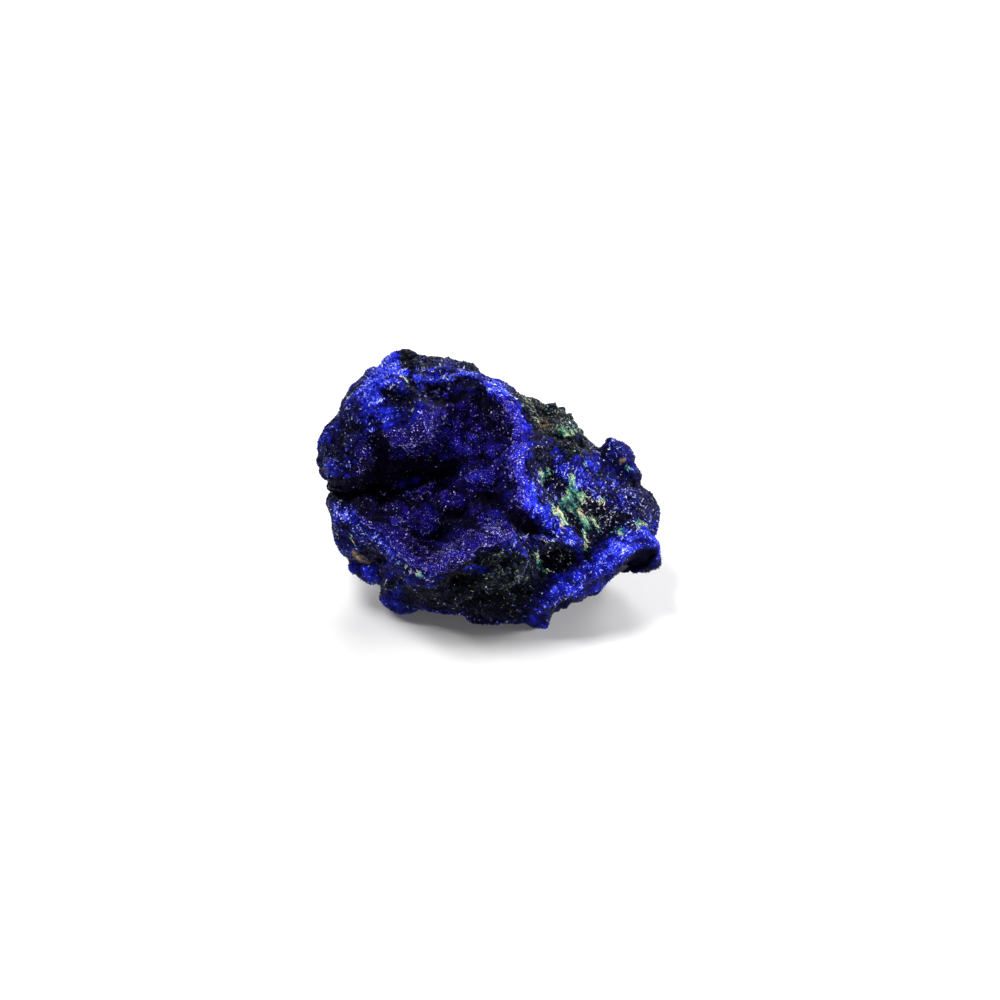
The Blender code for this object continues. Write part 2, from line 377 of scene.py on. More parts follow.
@dataclass(frozen=True)
class Mound:
    """A rounded mound on the face, or a pit where its height is negative.

    Attributes:
        x: Its middle, to the right.
        z: Its middle, up the face.
        along: Half its length.
        across: Half its width.
        height: How far its middle stands out.
        roll: Degrees that its length turns clockwise from level.
        foot: Where a mound ends, as a share of its half length and half width.
        walls: Where a pit's walls start and end.
    """

    x: float
    z: float
    along: float
    across: float
    height: float
    roll: float = 0.0
    foot: float = 1.15
    walls: tuple[float, float] = (0.25, 1.2)

    def rise(self, x: Array, z: Array) -> Array:
        """How far the mound lifts those places of the face.

        Args:
            x: How far to the right the places lie.
            z: How far up the face they lie.

        Returns:
            One height a place, negative in a pit.
        """
        right, up = turned(x - self.x, z - self.z, self.roll)
        reach = np.hypot(right / self.along, up / self.across)
        if self.height > 0.0:
            return self.height * np.sqrt(np.clip(1.0 - (reach / self.foot) ** 2, 0.0, 1.0))
        return self.height * (1.0 - ramp(reach, *self.walls))


# The lines that the forms of the face follow

RIM = (
    (0.3, 10.6), (1.3, 9.2), (2.4, 8.0), (3.0, 6.8), (3.2, 5.6), (3.0, 4.2), (2.5, 2.8), (2.7, 1.4),
    (3.5, 0.2), (3.5, -1.0),
)
FLAP = ((3.5, -1.0), (4.2, -1.8), (5.2, -2.6), (6.2, -3.7), (7.3, -4.8), (8.4, -5.4))
TOP_LIP = ((-7.8, 11.5), (-5.6, 11.2), (-4.2, 11.4), (-3.3, 11.9), (-2.3, 12.1), (-1.2, 11.6), (0.3, 10.6))
HEAD_EDGE = (
    (-13.9, 7.2), (-12.8, 6.3), (-11.7, 5.8), (-10.2, 5.7), (-8.8, 6.1), (-7.7, 6.8), (-7.2, 7.6),
    (-7.3, 8.8), (-7.2, 10.4),
)
LIP = (
    (-16.0, -2.2), (-14.4, -2.9), (-12.8, -4.1), (-11.2, -5.4), (-9.4, -6.9), (-7.6, -8.4), (-6.4, -8.6),
    (-4.6, -7.2), (-3.2, -6.7), (-1.5, -5.6), (0.4, -4.9), (1.6, -4.9),
)
LIP_TAIL = ((1.6, -4.9), (2.8, -5.9), (3.8, -7.1), (4.5, -9.0))
POCKET_SILL = ((3.3, -5.2), (4.6, -5.0), (5.8, -5.3), (8.0, -5.6))
LIP_THREAD = ((-9.6, -7.4), (-8.0, -8.6), (-6.4, -9.7))
LOWER_BAND = (
    (5.6, -12.4), (8.4, -10.2), (10.5, -8.4), (11.7, -7.6), (13.0, -6.6), (14.3, -5.7), (15.6, -5.1),
    (16.9, -5.3), (17.8, -6.2),
)
CREVICE = ((-17.0, -0.3), (-14.6, -0.5), (-12.4, 0.5), (-10.4, 1.4), (-8.4, 2.2), (-6.2, 2.3), (-4.4, 2.1))
BAND_FOOT = ((6.6, -12.8), (9.4, -11.2), (11.6, -9.6))
# Lines along which a sheen is painted on the lower lip and on the rim
LIP_SHEEN = ((-13.2, -4.4), (-9.8, -6.6), (-6.8, -8.0), (-4.4, -6.6), (-1.8, -5.2), (1.0, -4.6))
RIM_SHEEN = ((0.6, 10.2), (2.0, 8.4), (3.0, 6.0), (2.8, 3.6), (2.7, 1.2), (3.6, -1.2))
MALACHITE_HEAD = ((8.5, 0.7), (9.0, -0.4), (8.4, -1.2))
MALACHITE_TAIL = ((9.6, -4.0), (9.9, -5.2), (9.7, -6.4))
MALACHITE_VEIN = ((4.7, -6.8), (5.0, -8.2), (5.8, -9.6))
FOOT_THREAD = ((-14.5, -5.0), (-13.6, -6.2))
GULLY = ((-11.2, 5.4), (-11.3, 3.4), (-10.8, 1.6))

# Forms that stand out of the face
RISES = (
    Crest(RIM, 1.0, 0.35),
    Crest(FLAP, 1.0, 0.6),
    Crest(TOP_LIP, 0.5, 0.8),
    Crest(HEAD_EDGE, 0.4, 0.30),
    Crest(LIP, 1.0, 0.45),
    Crest(LIP_TAIL, 0.4, 0.45),
    Crest(POCKET_SILL, 0.35, 0.55),
    Crest(LOWER_BAND, 1.4, 0.30),
    # Mounds of the druse
    Mound(-13.7, 4.6, 1.3, 1.2, 0.8, roll=10),
    Mound(-9.1, 4.6, 1.3, 1.1, 0.9),
    Mound(-15.2, 2.2, 1.7, 1.2, 1.0, roll=10),
    Mound(-16.5, 6.1, 0.9, 0.9, 0.4),
    Mound(-5.2, 6.4, 1.9, 1.4, 0.8),
    Mound(-2.6, 4.6, 1.6, 1.2, 0.7, roll=20),
    Mound(0.9, 7.2, 0.8, 1.0, 0.4),
    Mound(0.4, 3.4, 1.1, 1.2, 0.6),
    Mound(-1.3, 1.6, 1.6, 1.3, 1.0),
    Mound(-7.7, 0.3, 1.7, 1.3, 1.1),
    Mound(-6.8, -3.6, 1.7, 1.4, 0.8),
    Mound(-9.8, -2.6, 1.2, 1.0, 0.7),
    Mound(-3.8, -5.6, 1.7, 0.9, 0.5, roll=-20),
    Mound(0.2, -3.3, 1.4, 0.9, 0.6),
    Mound(1.8, -1.2, 0.7, 0.8, 0.5),
    Mound(-4.1, -1.2, 1.2, 0.9, 0.7),
    # Beads and lumps of the outside
    Mound(-15.5, -2.3, 0.8, 0.6, 0.4),
    Mound(-14.3, -3.0, 0.8, 0.7, 0.5),
    Mound(-12.9, -4.0, 0.9, 0.6, 0.4, roll=35),
    Mound(-5.4, 12.5, 1.05, 0.9, 0.8),
    Mound(-7.8, 13.0, 1.2, 0.8, 0.5),
    Mound(-2.6, 13.2, 1.6, 0.9, 0.4, roll=20),
    Mound(-13.7, -7.1, 1.1, 0.5, 0.5, roll=35),
    Mound(-12.6, -9.0, 1.1, 0.8, 0.4, roll=40),
    Mound(-10.0, -11.4, 1.0, 1.0, 0.4),
    Mound(5.2, -13.2, 1.2, 1.1, 0.4),
    Mound(-12.7, 12.3, 0.5, 0.6, 0.6),
    Mound(-13.3, 11.1, 0.5, 0.6, 0.6),
    Mound(0.6, -9.0, 1.6, 0.8, 0.4, roll=-10),
    Mound(3.0, -9.6, 0.9, 1.4, 0.35),
)
# Hollows and grooves in it
SINKS = (
    Crest(CREVICE, 1.1, -1.5),
    Crest(GULLY, 0.6, -0.8),
    Mound(-5.2, 9.6, 3.2, 1.1, -1.1, roll=-2),
    Mound(-0.6, 9.0, 1.6, 1.2, -0.9, roll=45),
    Mound(-10.6, 1.9, 2.2, 1.2, -1.2),
    Mound(-5.6, 2.1, 2.2, 1.0, -0.9),
    Mound(-3.8, -2.9, 1.5, 1.0, -0.7),
    Mound(-0.5, -1.1, 1.5, 0.8, -0.8),
    Mound(3.5, -3.7, 1.9, 1.0, -1.4, roll=38),
    Mound(-10.4, 9.4, 1.7, 1.3, -0.9, roll=10),
    Mound(-10.3, 9.5, 0.7, 0.5, -0.6, roll=10),
    Mound(-8.2, 9.6, 1.2, 1.8, -0.7),
    Mound(-12.3, 6.9, 1.2, 0.6, -0.4, roll=20),
    Mound(-11.6, 4.6, 0.9, 1.4, -0.8),
    Mound(2.3, 0.4, 0.8, 0.5, -0.6),
    Mound(-11.5, -7.5, 0.9, 0.7, -0.9),
    Mound(-2.7, -9.4, 1.9, 0.9, -1.1, roll=-5),
    Mound(6.5, -6.6, 1.6, 0.7, -0.3, roll=-20),
    Mound(15.4, -7.7, 2.8, 0.9, -1.0, roll=-33),
    Mound(-9.6, -9.6, 1.0, 0.8, -0.6),
)

# Beads that stand out of the outline, as (x, z, radius)
BEADS = (
    (-12.6, 12.3, 0.5),
    (-13.2, 11.1, 0.5),
    (-4.7, 13.3, 0.7),
    (6.4, 8.4, 0.6),
    (7.3, 8.1, 0.7),
    (8.0, 7.6, 0.6),
    (8.2, 6.3, 0.9),
    (9.0, 5.6, 0.8),
    (-17.6, 2.7, 0.7),
    (-17.5, 1.7, 0.6),
    (-16.7, -1.4, 0.65),
    (14.9, 1.2, 1.0),
    (14.5, 2.2, 0.8),
    (-14.3, -8.3, 0.7),
    (-13.4, -8.7, 0.8),
    (-12.6, -9.3, 0.7),
    (13.5, -8.3, 0.6),
    (14.3, -8.4, 0.7),
    (15.1, -8.2, 0.7),
    (6.8, -12.5, 0.7),
    (7.6, -12.0, 0.7),
    (5.6, -14.2, 0.6),
)

# What the face is made of
COVER: dict[Zone, tuple[Union[Patch, Band], ...]] = {
    # Where azurite covers the matrix, and where it leaves it bare
    Zone.BLUE: (
        Patch(-8.8, 10.0, 1.6, 2.0, 0.7),
        Patch(-13.8, 6.8, 2.2, 1.5, 0.6, roll=30),
        Patch(-12.0, 6.0, 6.5, 7.0, 0.6),
        Patch(-15.6, 5.0, 2.4, 5.0, 0.8, roll=-20),
        Patch(-6.6, 2.0, 10.5, 8.6, 0.9, roll=15),
        Band(RIM, 1.3, 0.8),
        Band(FLAP, 1.3, 0.9),
        Band(LIP, 1.6, 0.7),
        Band(LIP_TAIL, 0.5, 0.5),
        Band(LOWER_BAND, 2.2, 0.9),
        Patch(-12.6, -6.2, 3.8, 3.6, 0.5, roll=35),
        Patch(15.6, -7.4, 3.0, 1.6, 0.8, roll=-33),
        Patch(13.2, 3.6, 1.8, 1.6, 0.6),
        Patch(10.2, 2.0, 2.8, 1.9, 0.9, roll=-30),
        Patch(7.2, 2.7, 1.0, 1.8, 0.5, roll=-15),
        Patch(5.4, 5.0, 1.6, 0.9, 0.6),
        Patch(5.6, -0.8, 2.2, 1.4, 0.35, roll=-10),
        Patch(12.6, 0.4, 3.4, 3.0, 0.45),
        Patch(5.2, -12.8, 2.2, 2.0, 0.8),
        Patch(-5.8, 12.7, 3.0, 0.9, 0.4, roll=6),
        Patch(-1.6, 13.4, 2.6, 0.9, -0.6, roll=25),
        Patch(6.0, 7.4, 4.6, 1.8, -0.5, roll=30),
        Patch(-1.6, -8.4, 1.8, 0.5, 0.8),
        Patch(8.4, 5.0, 2.6, 1.6, -0.6, roll=35),
        Patch(5.2, 1.6, 1.4, 2.2, -0.35),
        Patch(8.6, -1.8, 3.2, 2.4, -0.4, roll=30),
        Patch(11.4, -3.0, 4.2, 1.6, -0.3, roll=15),
        Patch(0.4, -8.4, 5.6, 2.0, -0.6, roll=-6),
        Patch(0.6, -11.4, 5.6, 2.6, -0.7),
        Patch(6.8, -7.4, 2.4, 1.9, -0.7),
        Patch(-10.2, -12.2, 1.8, 1.4, 0.4),
        Patch(-8.8, 14.0, 1.0, 1.0, -0.7),
        Patch(-10.8, 13.4, 1.4, 1.2, 0.9),
    ),
    # Bright azurite along the rims, the bands and the head
    Zone.BRIGHT: (
        Patch(-11.4, 12.3, 2.7, 1.2, 1.3, roll=-54),
        Patch(-9.5, 12.0, 1.4, 0.6, roll=8),
        Patch(-12.7, 9.5, 1.7, 1.0, 1.1, roll=10),
        Patch(-12.4, 7.8, 1.0, 0.9, 0.5),
        Patch(-10.5, 7.4, 1.2, 0.9),
        Patch(-11.2, 10.5, 1.2, 0.7, 0.8, roll=-20),
        Patch(-14.4, 9.0, 1.2, 0.9, 0.25, roll=-40),
        Band(TOP_LIP, 0.4, 0.8),
        Band(RIM, 0.95, 0.74),
        Patch(2.3, 0.4, 0.9, 0.5, -0.5),
        Band(FLAP, 0.85, 0.34),
        Band(LOWER_BAND, 1.1, 0.62),
        Patch(15.2, -4.4, 1.8, 0.9, 0.8, roll=-10),
        Patch(12.0, -6.2, 1.6, 0.8, 0.6, roll=-35),
        Patch(-14.3, -3.0, 1.7, 0.7, 0.45, roll=20),
        Patch(10.4, 2.4, 1.6, 0.7, 0.85, roll=-30),
        Patch(7.2, 2.7, 0.5, 1.7, 0.7, roll=-15),
        Patch(9.2, 0.9, 2.4, 0.8, 0.9, roll=10),
        Patch(4.6, -0.6, 1.2, 1.3, 0.6),
        Patch(6.4, -1.6, 1.8, 0.6, 0.5, roll=-20),
        Patch(-0.9, 1.2, 1.4, 1.0, 0.3),
        Patch(-12.8, -8.8, 1.6, 0.9, 0.45, roll=38),
        Patch(-9.6, -9.4, 1.6, 0.8, 0.45, roll=20),
        Patch(3.0, -6.9, 0.6, 1.4, 0.4, roll=-60),
        Patch(6.6, -10.4, 1.6, 1.0, 0.3, roll=-40),
        Patch(0.9, 10.0, 1.1, 0.8, 0.9, roll=40),
        Patch(-3.0, 9.4, 3.0, 1.0, 0.14),
        Patch(-15.2, 2.2, 2.2, 1.6, -0.3),
        Patch(12.4, 0.2, 3.2, 2.4, 0.14),
        Patch(-1.6, -8.4, 1.6, 0.4, 0.4),
        Patch(-10.7, 13.6, 1.0, 0.8, 0.5, roll=-54),
    ),
    # Coarse blocky azurite
    Zone.COARSE: (
        Patch(-11.6, 11.8, 2.8, 1.3, 0.7, roll=-54),
        Patch(-11.2, 9.4, 2.0, 1.0, 0.7),
        Patch(-8.6, 12.2, 1.6, 0.7, 0.9),
        Band(RIM, 0.9, 0.55),
        Band(FLAP, 0.8, 0.35),
        Patch(-14.4, -2.9, 1.6, 0.7, 0.7, roll=20),
    ),
    # Painted sheen: a pale lavender on crests, lips and in the hollow
    Zone.DUSTY: (
        Band(LIP_SHEEN, 1.0, 0.24),
        Band(LIP_TAIL, 0.4, 0.7),
        Band(POCKET_SILL, 0.35, 0.9),
        Band(TOP_LIP, 0.35, 0.5),
        Band(HEAD_EDGE, 0.35, 0.4),
        Band(RIM_SHEEN, 0.45, 0.35),
        Patch(-15.1, 2.3, 1.5, 1.0, 0.34, roll=10),
        Patch(-4.0, 6.0, 4.4, 2.8, 0.27, roll=-10),
        Patch(0.4, 6.2, 1.4, 2.2, 0.22),
        Patch(-13.3, 5.2, 1.3, 0.9, 0.2),
        Patch(-9.1, 5.0, 1.4, 1.2, 0.2),
        Patch(-7.5, 0.6, 1.5, 0.9, 0.25),
        Patch(-6.6, -3.4, 2.4, 1.6, 0.3),
        Patch(-0.9, 1.4, 1.4, 0.8, 0.25),
        Patch(0.5, -3.5, 1.6, 1.0, 0.3),
        Patch(5.2, -3.2, 1.4, 0.4, 0.4, roll=42),
        Patch(14.6, -3.0, 2.2, 2.0, 0.3),
        Patch(11.6, -2.2, 2.6, 1.8, 0.2),
    ),
    # Clean-broken faces without crystals
    Zone.BARE: (
        Patch(15.4, -7.7, 2.8, 1.1, roll=-33),
        Patch(5.2, -13.6, 1.8, 1.4, 0.8),
        Patch(13.3, 3.9, 1.5, 1.3, 0.25),
        Band(BAND_FOOT, 0.6, 0.8),
    ),
    # Green rather than black matrix
    Zone.OLIVE: (
        Patch(0.4, 12.4, 6.0, 1.6, 0.9, roll=24),
        Patch(6.6, 7.2, 4.6, 2.0, roll=30),
        Patch(8.6, 4.6, 2.2, 1.6, 0.8, roll=30),
        Patch(-8.8, 14.0, 1.1, 1.0, 0.9),
        Patch(0.8, -9.6, 5.4, 4.2, 0.9),
        Patch(7.8, -4.6, 2.2, 3.0, 0.5, roll=-30),
        Patch(-9.6, -10.8, 1.8, 1.8, 0.5),
    ),
    # Teal malachite
    Zone.MALACHITE: (
        Patch(-16.4, 3.0, 1.4, 1.6, -0.6),
        Band(MALACHITE_HEAD, 0.5, 1.0),
        Patch(7.9, -1.7, 1.5, 0.9, roll=-35),
        Patch(9.4, -1.0, 0.5, 0.9, 0.6, roll=-20),
        Patch(5.25, 1.2, 0.35, 0.6, 0.8),
        Band(MALACHITE_TAIL, 0.25, 0.95),
        Patch(13.2, -4.7, 1.0, 0.5, 0.75, roll=-10),
        Patch(9.9, 2.6, 0.35, 0.5, 0.8),
        Patch(13.8, 2.0, 0.9, 0.25, 0.5, roll=8),
        Band(MALACHITE_VEIN, 0.18, 0.55),
        Patch(1.9, 10.2, 0.6, 0.3, 0.5, roll=30),
        Patch(6.4, 8.0, 2.6, 0.8, 0.12, roll=30),
    ),
    # Pale yellow-green crumbs and threads
    Zone.PALE: (
        Patch(7.1, -3.0, 1.3, 0.9, 0.42, roll=45),
        Patch(8.9, -2.8, 1.5, 0.5, 0.6, roll=55),
        Patch(6.7, -2.2, 0.9, 0.5, 0.38, roll=40),
        Patch(7.8, 5.9, 1.1, 0.6, 0.5, roll=15),
        Patch(0.2, -7.0, 2.4, 0.9, 0.14),
        Patch(6.8, -7.4, 1.4, 1.0, 0.16),
        Patch(5.7, 1.7, 0.25, 0.4, 0.8),
        Patch(-8.8, 11.1, 0.4, 0.25, 0.45),
        Band(LIP_THREAD, 0.10, 0.45),
        Band(FOOT_THREAD, 0.16, 0.8),
        Patch(16.0, -3.4, 1.3, 1.4, 0.25),
        Patch(11.0, -2.6, 2.6, 2.0, 0.2),
    ),
    # Brown limonite
    Zone.LIMONITE: (
        Patch(5.5, 6.8, 0.7, 0.7),
        Patch(14.0, 2.9, 0.45, 0.65, 0.85, roll=25),
        Patch(-13.7, -7.1, 1.2, 0.6, 1.3, roll=35),
    ),
    # Painted shade: darker azurite and matrix in the hollow, the crevice, the pits and other recesses
    Zone.SHADE: (
        Patch(-5.2, 12.3, 0.9, 0.7, 0.5),
        Patch(-8.0, 12.9, 1.4, 0.5, 0.5, roll=8),
        Patch(-10.3, 9.3, 0.8, 0.5, 0.55, roll=-10),
        Patch(-8.5, 9.6, 1.1, 2.0, 0.25, roll=-12),
        Patch(-13.8, 5.0, 1.9, 1.3, 0.4),
        Patch(-14.9, 8.2, 1.5, 0.9, 0.2, roll=-48),
        Patch(-13.9, 6.2, 1.4, 0.7, 0.3, roll=30),
        Patch(-4.0, 9.8, 3.9, 1.2, 0.26, roll=-4),
        Patch(0.4, 8.6, 1.0, 1.4, 0.5, roll=40),
        Band(CREVICE, 1.2, 0.9),
        Patch(-10.2, 2.2, 2.4, 1.0, 0.7),
        Patch(-13.6, 0.4, 2.0, 0.8, 0.5),
        Patch(-8.8, 0.2, 1.8, 0.9, -0.5),
        Patch(-9.0, 4.8, 1.8, 1.4, 0.2),
        Patch(-11.2, 4.4, 0.8, 1.8, 0.9),
        Patch(-5.0, 2.2, 2.8, 1.0, 0.5),
        Patch(-10.0, -1.0, 2.8, 1.0, 0.4),
        Patch(-15.0, 2.6, 2.0, 1.4, 0.25),
        Patch(-16.4, 0.4, 1.3, 0.9, 0.7),
        Patch(-13.0, -2.2, 2.8, 0.9, 0.6, roll=30),
        Patch(-3.6, -3.0, 2.4, 1.4, 0.5),
        Patch(-0.2, -1.2, 1.9, 0.9, 0.7),
        Patch(3.4, -3.6, 2.2, 1.1, 0.55, roll=38),
        Patch(-12.2, -7.2, 1.6, 1.1, 0.6, roll=38),
        Patch(-2.8, -9.6, 2.6, 1.2, 0.7, roll=-5),
        Patch(-6.2, -11.6, 3.2, 1.2, 0.6),
        Patch(2.0, -12.0, 3.6, 1.6, 0.4),
        Patch(6.4, -6.8, 1.6, 1.2, 0.32),
        Patch(15.2, -7.6, 2.2, 0.8, 1.4, roll=-33),
        Patch(16.4, -8.6, 2.0, 0.8, 0.55, roll=-20),
        Patch(6.6, -12.9, 2.2, 0.8, 0.7, roll=-38),
        Patch(13.2, 3.7, 1.4, 1.2, 0.3),
        Patch(4.9, 5.6, 1.3, 0.8, 0.5),
        Patch(1.0, 6.0, 1.1, 1.5, 0.35),
        Patch(-14.8, 4.0, 2.6, 3.4, 0.2),
        Patch(-0.6, 2.2, 2.4, 2.4, 0.22),
        Patch(-6.6, -1.6, 4.4, 3.0, 0.2),
    ),
    # Clusters of white glints
    Zone.GLINT: (
        Patch(13.0, 3.6, 1.2, 1.0, 0.4),
        Patch(-9.3, 12.3, 0.5, 0.25, 1.6),
        Patch(-7.5, 12.4, 0.9, 0.2, 0.7, roll=10),
        Patch(-10.3, 10.2, 0.4, 0.25, 2.0, roll=25),
        Patch(-11.6, 9.0, 0.55, 0.25, 1.4, roll=-15),
        Patch(-13.2, 9.4, 0.7, 0.5, 0.2),
        Patch(-11.9, 12.4, 2.0, 0.5, 0.2, roll=-54),
        Patch(-15.0, 2.5, 1.3, 0.6, 0.2, roll=10),
        Patch(12.4, -1.8, 4.0, 3.2, 0.24, roll=20),
        Patch(7.4, 0.6, 2.6, 2.6, 0.3),
        Band(FLAP, 0.7, 0.03),
        Band(RIM, 0.8, 0.24),
        Band(LIP, 0.8, 0.22),
        Band(LOWER_BAND, 1.1, 0.12),
        Patch(1.6, -9.6, 4.4, 3.2, 0.06),
        Patch(6.6, -7.4, 2.0, 1.4, 0.05),
        Patch(6.0, 7.6, 4.0, 1.6, 0.3, roll=30),
        Band(LIP_THREAD, 0.16, 1.0),
    ),
}


@dataclass(frozen=True)
class Chance:
    """The share that chance gives a zone, which is what the sides that face away are made of.

    Attributes:
        pattern: The noise that its patches follow.
        low: The noise from which the zone starts.
        high: The noise at which it is full.
        most: Its share where it is full.
    """

    pattern: Layer
    low: float
    high: float
    most: float = 1.0

    def share(self, points: Array) -> Array:
        """The zone's share at those points of the face frame."""
        return self.most * ramp(self.pattern.at(points), self.low, self.high)


WILD = {
    Zone.BRIGHT: Chance(Layer(13, 4.4, 4), 0.08, 0.4, 0.9),
    Zone.COARSE: Chance(Layer(18, 5.0, 3), 0.05, 0.4, 0.7),
    Zone.DUSTY: Chance(Layer(14, 5.0, 3), 0.1, 0.5, 0.35),
    Zone.BARE: Chance(Layer(19, 5.5, 4), 0.35, 0.55, 0.6),
    Zone.OLIVE: Chance(Layer(20, 7.0, 3), -0.2, 0.2),
    Zone.MALACHITE: Chance(Layer(15, 2.6, 4), 0.36, 0.52),
    Zone.PALE: Chance(Layer(16, 2.2, 4), 0.42, 0.6, 0.9),
    Zone.LIMONITE: Chance(Layer(17, 2.8, 3), 0.44, 0.6),
    Zone.SHADE: Chance(Layer(27, 3.6, 3), 0.0, 0.4, 0.5),
    Zone.GLINT: Chance(Layer(28, 2.4, 3), 0.2, 0.5, 0.5),
}

# How the borders of the patches and the lines of the forms wander, to the right and up
FRAYING = (Layer(3, 1.0, 3), Layer(4, 1.0, 3))
WANDERING = (Layer(5, 1.2, 2), Layer(6, 1.2, 2))
# How broken the bright, painted-sheen and coarse patches are, and how uneven the forms
BREAKING = Layer(7, 0.9, 3)
UNEVENNESS = Layer(8, 1.3, 3)
# The blue of the sides that face away, in broad areas and in blotches, and the mottle of everything
BLUE_AREAS = Layer(11, 6.5, 4)
BLUE_BLOTCHES = Layer(12, 3.2, 3)
MOTTLING = Layer(29, 0.62, 3, 0.7)


@dataclass(frozen=True)
class Geology:
    """Works out the forms of the stone and what it is made of, from place and facing.

    Attributes:
        fray: How far the borders of the patches wander, in millimetres.
        wander: How far the lines of the forms wander, in millimetres.
        everywhere: The share of blue where no patch reaches.
        tamed: How much of the shares of chance the face leaves out.
        patched: The facing, along the way out, from which the face's own patches show.
        formed: The facing from which its forms show.
    """

    fray: float = 0.75
    wander: float = 0.40
    everywhere: float = 0.42
    tamed: float = 0.8
    patched: tuple[float, float] = (-0.6, -0.05)
    formed: tuple[float, float] = (-0.1, 0.5)

    def shares(self, points: Array, normals: Array) -> Shares:
        """The share of each zone.

        Args:
            points: Places in the face frame, one row a place.
            normals: Which way the skin faces there.

        Returns:
            Each zone's share, from 0 to 1, at each place.
        """
        front = ramp(-normals[:, 1], *self.patched)
        x, z = self.strayed(points, FRAYING, self.fray)
        total = self.wild(points)
        for zone in WILD:
            total[zone] = total[zone] * (1.0 - self.tamed * front)
        for zone, areas in COVER.items():
            for area in areas:
                total[zone] = total[zone] + front * area.share(x, z)
        broken = 0.85 + 0.9 * BREAKING.at(points)
        for zone in (Zone.BRIGHT, Zone.DUSTY, Zone.COARSE):
            total[zone] = total[zone] * broken
        return {zone: np.clip(share, 0.0, 1.0) for zone, share in total.items()}

    def wild(self, points: Array) -> Shares:
        """The shares that chance gives, with the mottle that is finest and everywhere.

        Args:
            points: Places in the face frame, one row a place.

        Returns:
            Each of those zones' share at each place.
        """
        total = {zone: chance.share(points) for zone, chance in WILD.items()}
        total[Zone.BLUE] = self.everywhere + 0.55 * BLUE_AREAS.at(points) + 0.35 * BLUE_BLOTCHES.at(points)
        total[Zone.MOTTLE] = 0.5 + 0.85 * MOTTLING.at(points)
        return total

    @staticmethod
    def strayed(points: Array, ways: tuple[Layer, Layer], reach: float) -> tuple[Array, Array]:
        """Where points lie on the face once they have strayed by up to that reach, to the right and up."""
        return tuple(points[:, axis] + reach * way.at(points) for axis, way in zip((0, 2), ways))

    def forms(self, points: Array, normals: Array) -> Array:
        """How far the forms of the face stand out towards the viewer, in millimetres.

        Args:
            points: Places in the face frame, one row a place.
            normals: Which way the skin faces there.

        Returns:
            The height at each place.
        """
        x, z = self.strayed(points, WANDERING, self.wander)
        up = np.max([form.rise(x, z) for form in RISES], axis=0, initial=0.0)
        down = np.min([form.rise(x, z) for form in SINKS], axis=0, initial=0.0)
        uneven = 0.70 + 0.9 * UNEVENNESS.at(points)
        return ramp(-normals[:, 1], *self.formed) * (up * uneven + down)


GEOLOGY = Geology()


# ---------------------------------------------------------------- shader building

Value = Union["Term", float, int]
FIBRE_FALL_DEG = 58.0
FIBRE_PULL = 0.28


class Term:
    """A socket in an expression: operators on it add the nodes that work them out."""

    def __init__(self, tree: "Tree", socket: bpy.types.NodeSocket) -> None:
        """Wraps a socket of that tree."""
        self.tree = tree
        self.socket = socket

    def __add__(self, other: Value) -> "Term":
        """self + other."""
        return self.tree.maths("ADD", self, other)

    def __radd__(self, other: Value) -> "Term":
        """other + self."""
        return self.tree.maths("ADD", other, self)

    def __sub__(self, other: Value) -> "Term":
        """self - other."""
        return self.tree.maths("SUBTRACT", self, other)

    def __rsub__(self, other: Value) -> "Term":
        """other - self."""
        return self.tree.maths("SUBTRACT", other, self)

    def __mul__(self, other: Value) -> "Term":
        """self * other."""
        return self.tree.maths("MULTIPLY", self, other)

    def __rmul__(self, other: Value) -> "Term":
        """other * self."""
        return self.tree.maths("MULTIPLY", other, self)

    def above(self, edge: float, softness: float) -> "Term":
        """0 below the edge and 1 above it, with a soft step of that width.

        Args:
            edge: Where the step lies.
            softness: How wide it is.

        Returns:
            The stepped value.
        """
        settings = {"interpolation_type": "SMOOTHSTEP"}
        inputs = {0: self, 1: edge - softness / 2, 2: edge + softness / 2}
        return self.tree.node("ShaderNodeMapRange", settings, inputs).out(0)


class Added:
    """A node that was added to a tree."""

    def __init__(self, tree: "Tree", made: bpy.types.Node) -> None:
        """Wraps a node of that tree."""
        self.tree = tree
        self.made = made

    def out(self, which: Union[int, str]) -> Term:
        """One of the node's outputs, as a term."""
        return Term(self.tree, self.made.outputs[which])


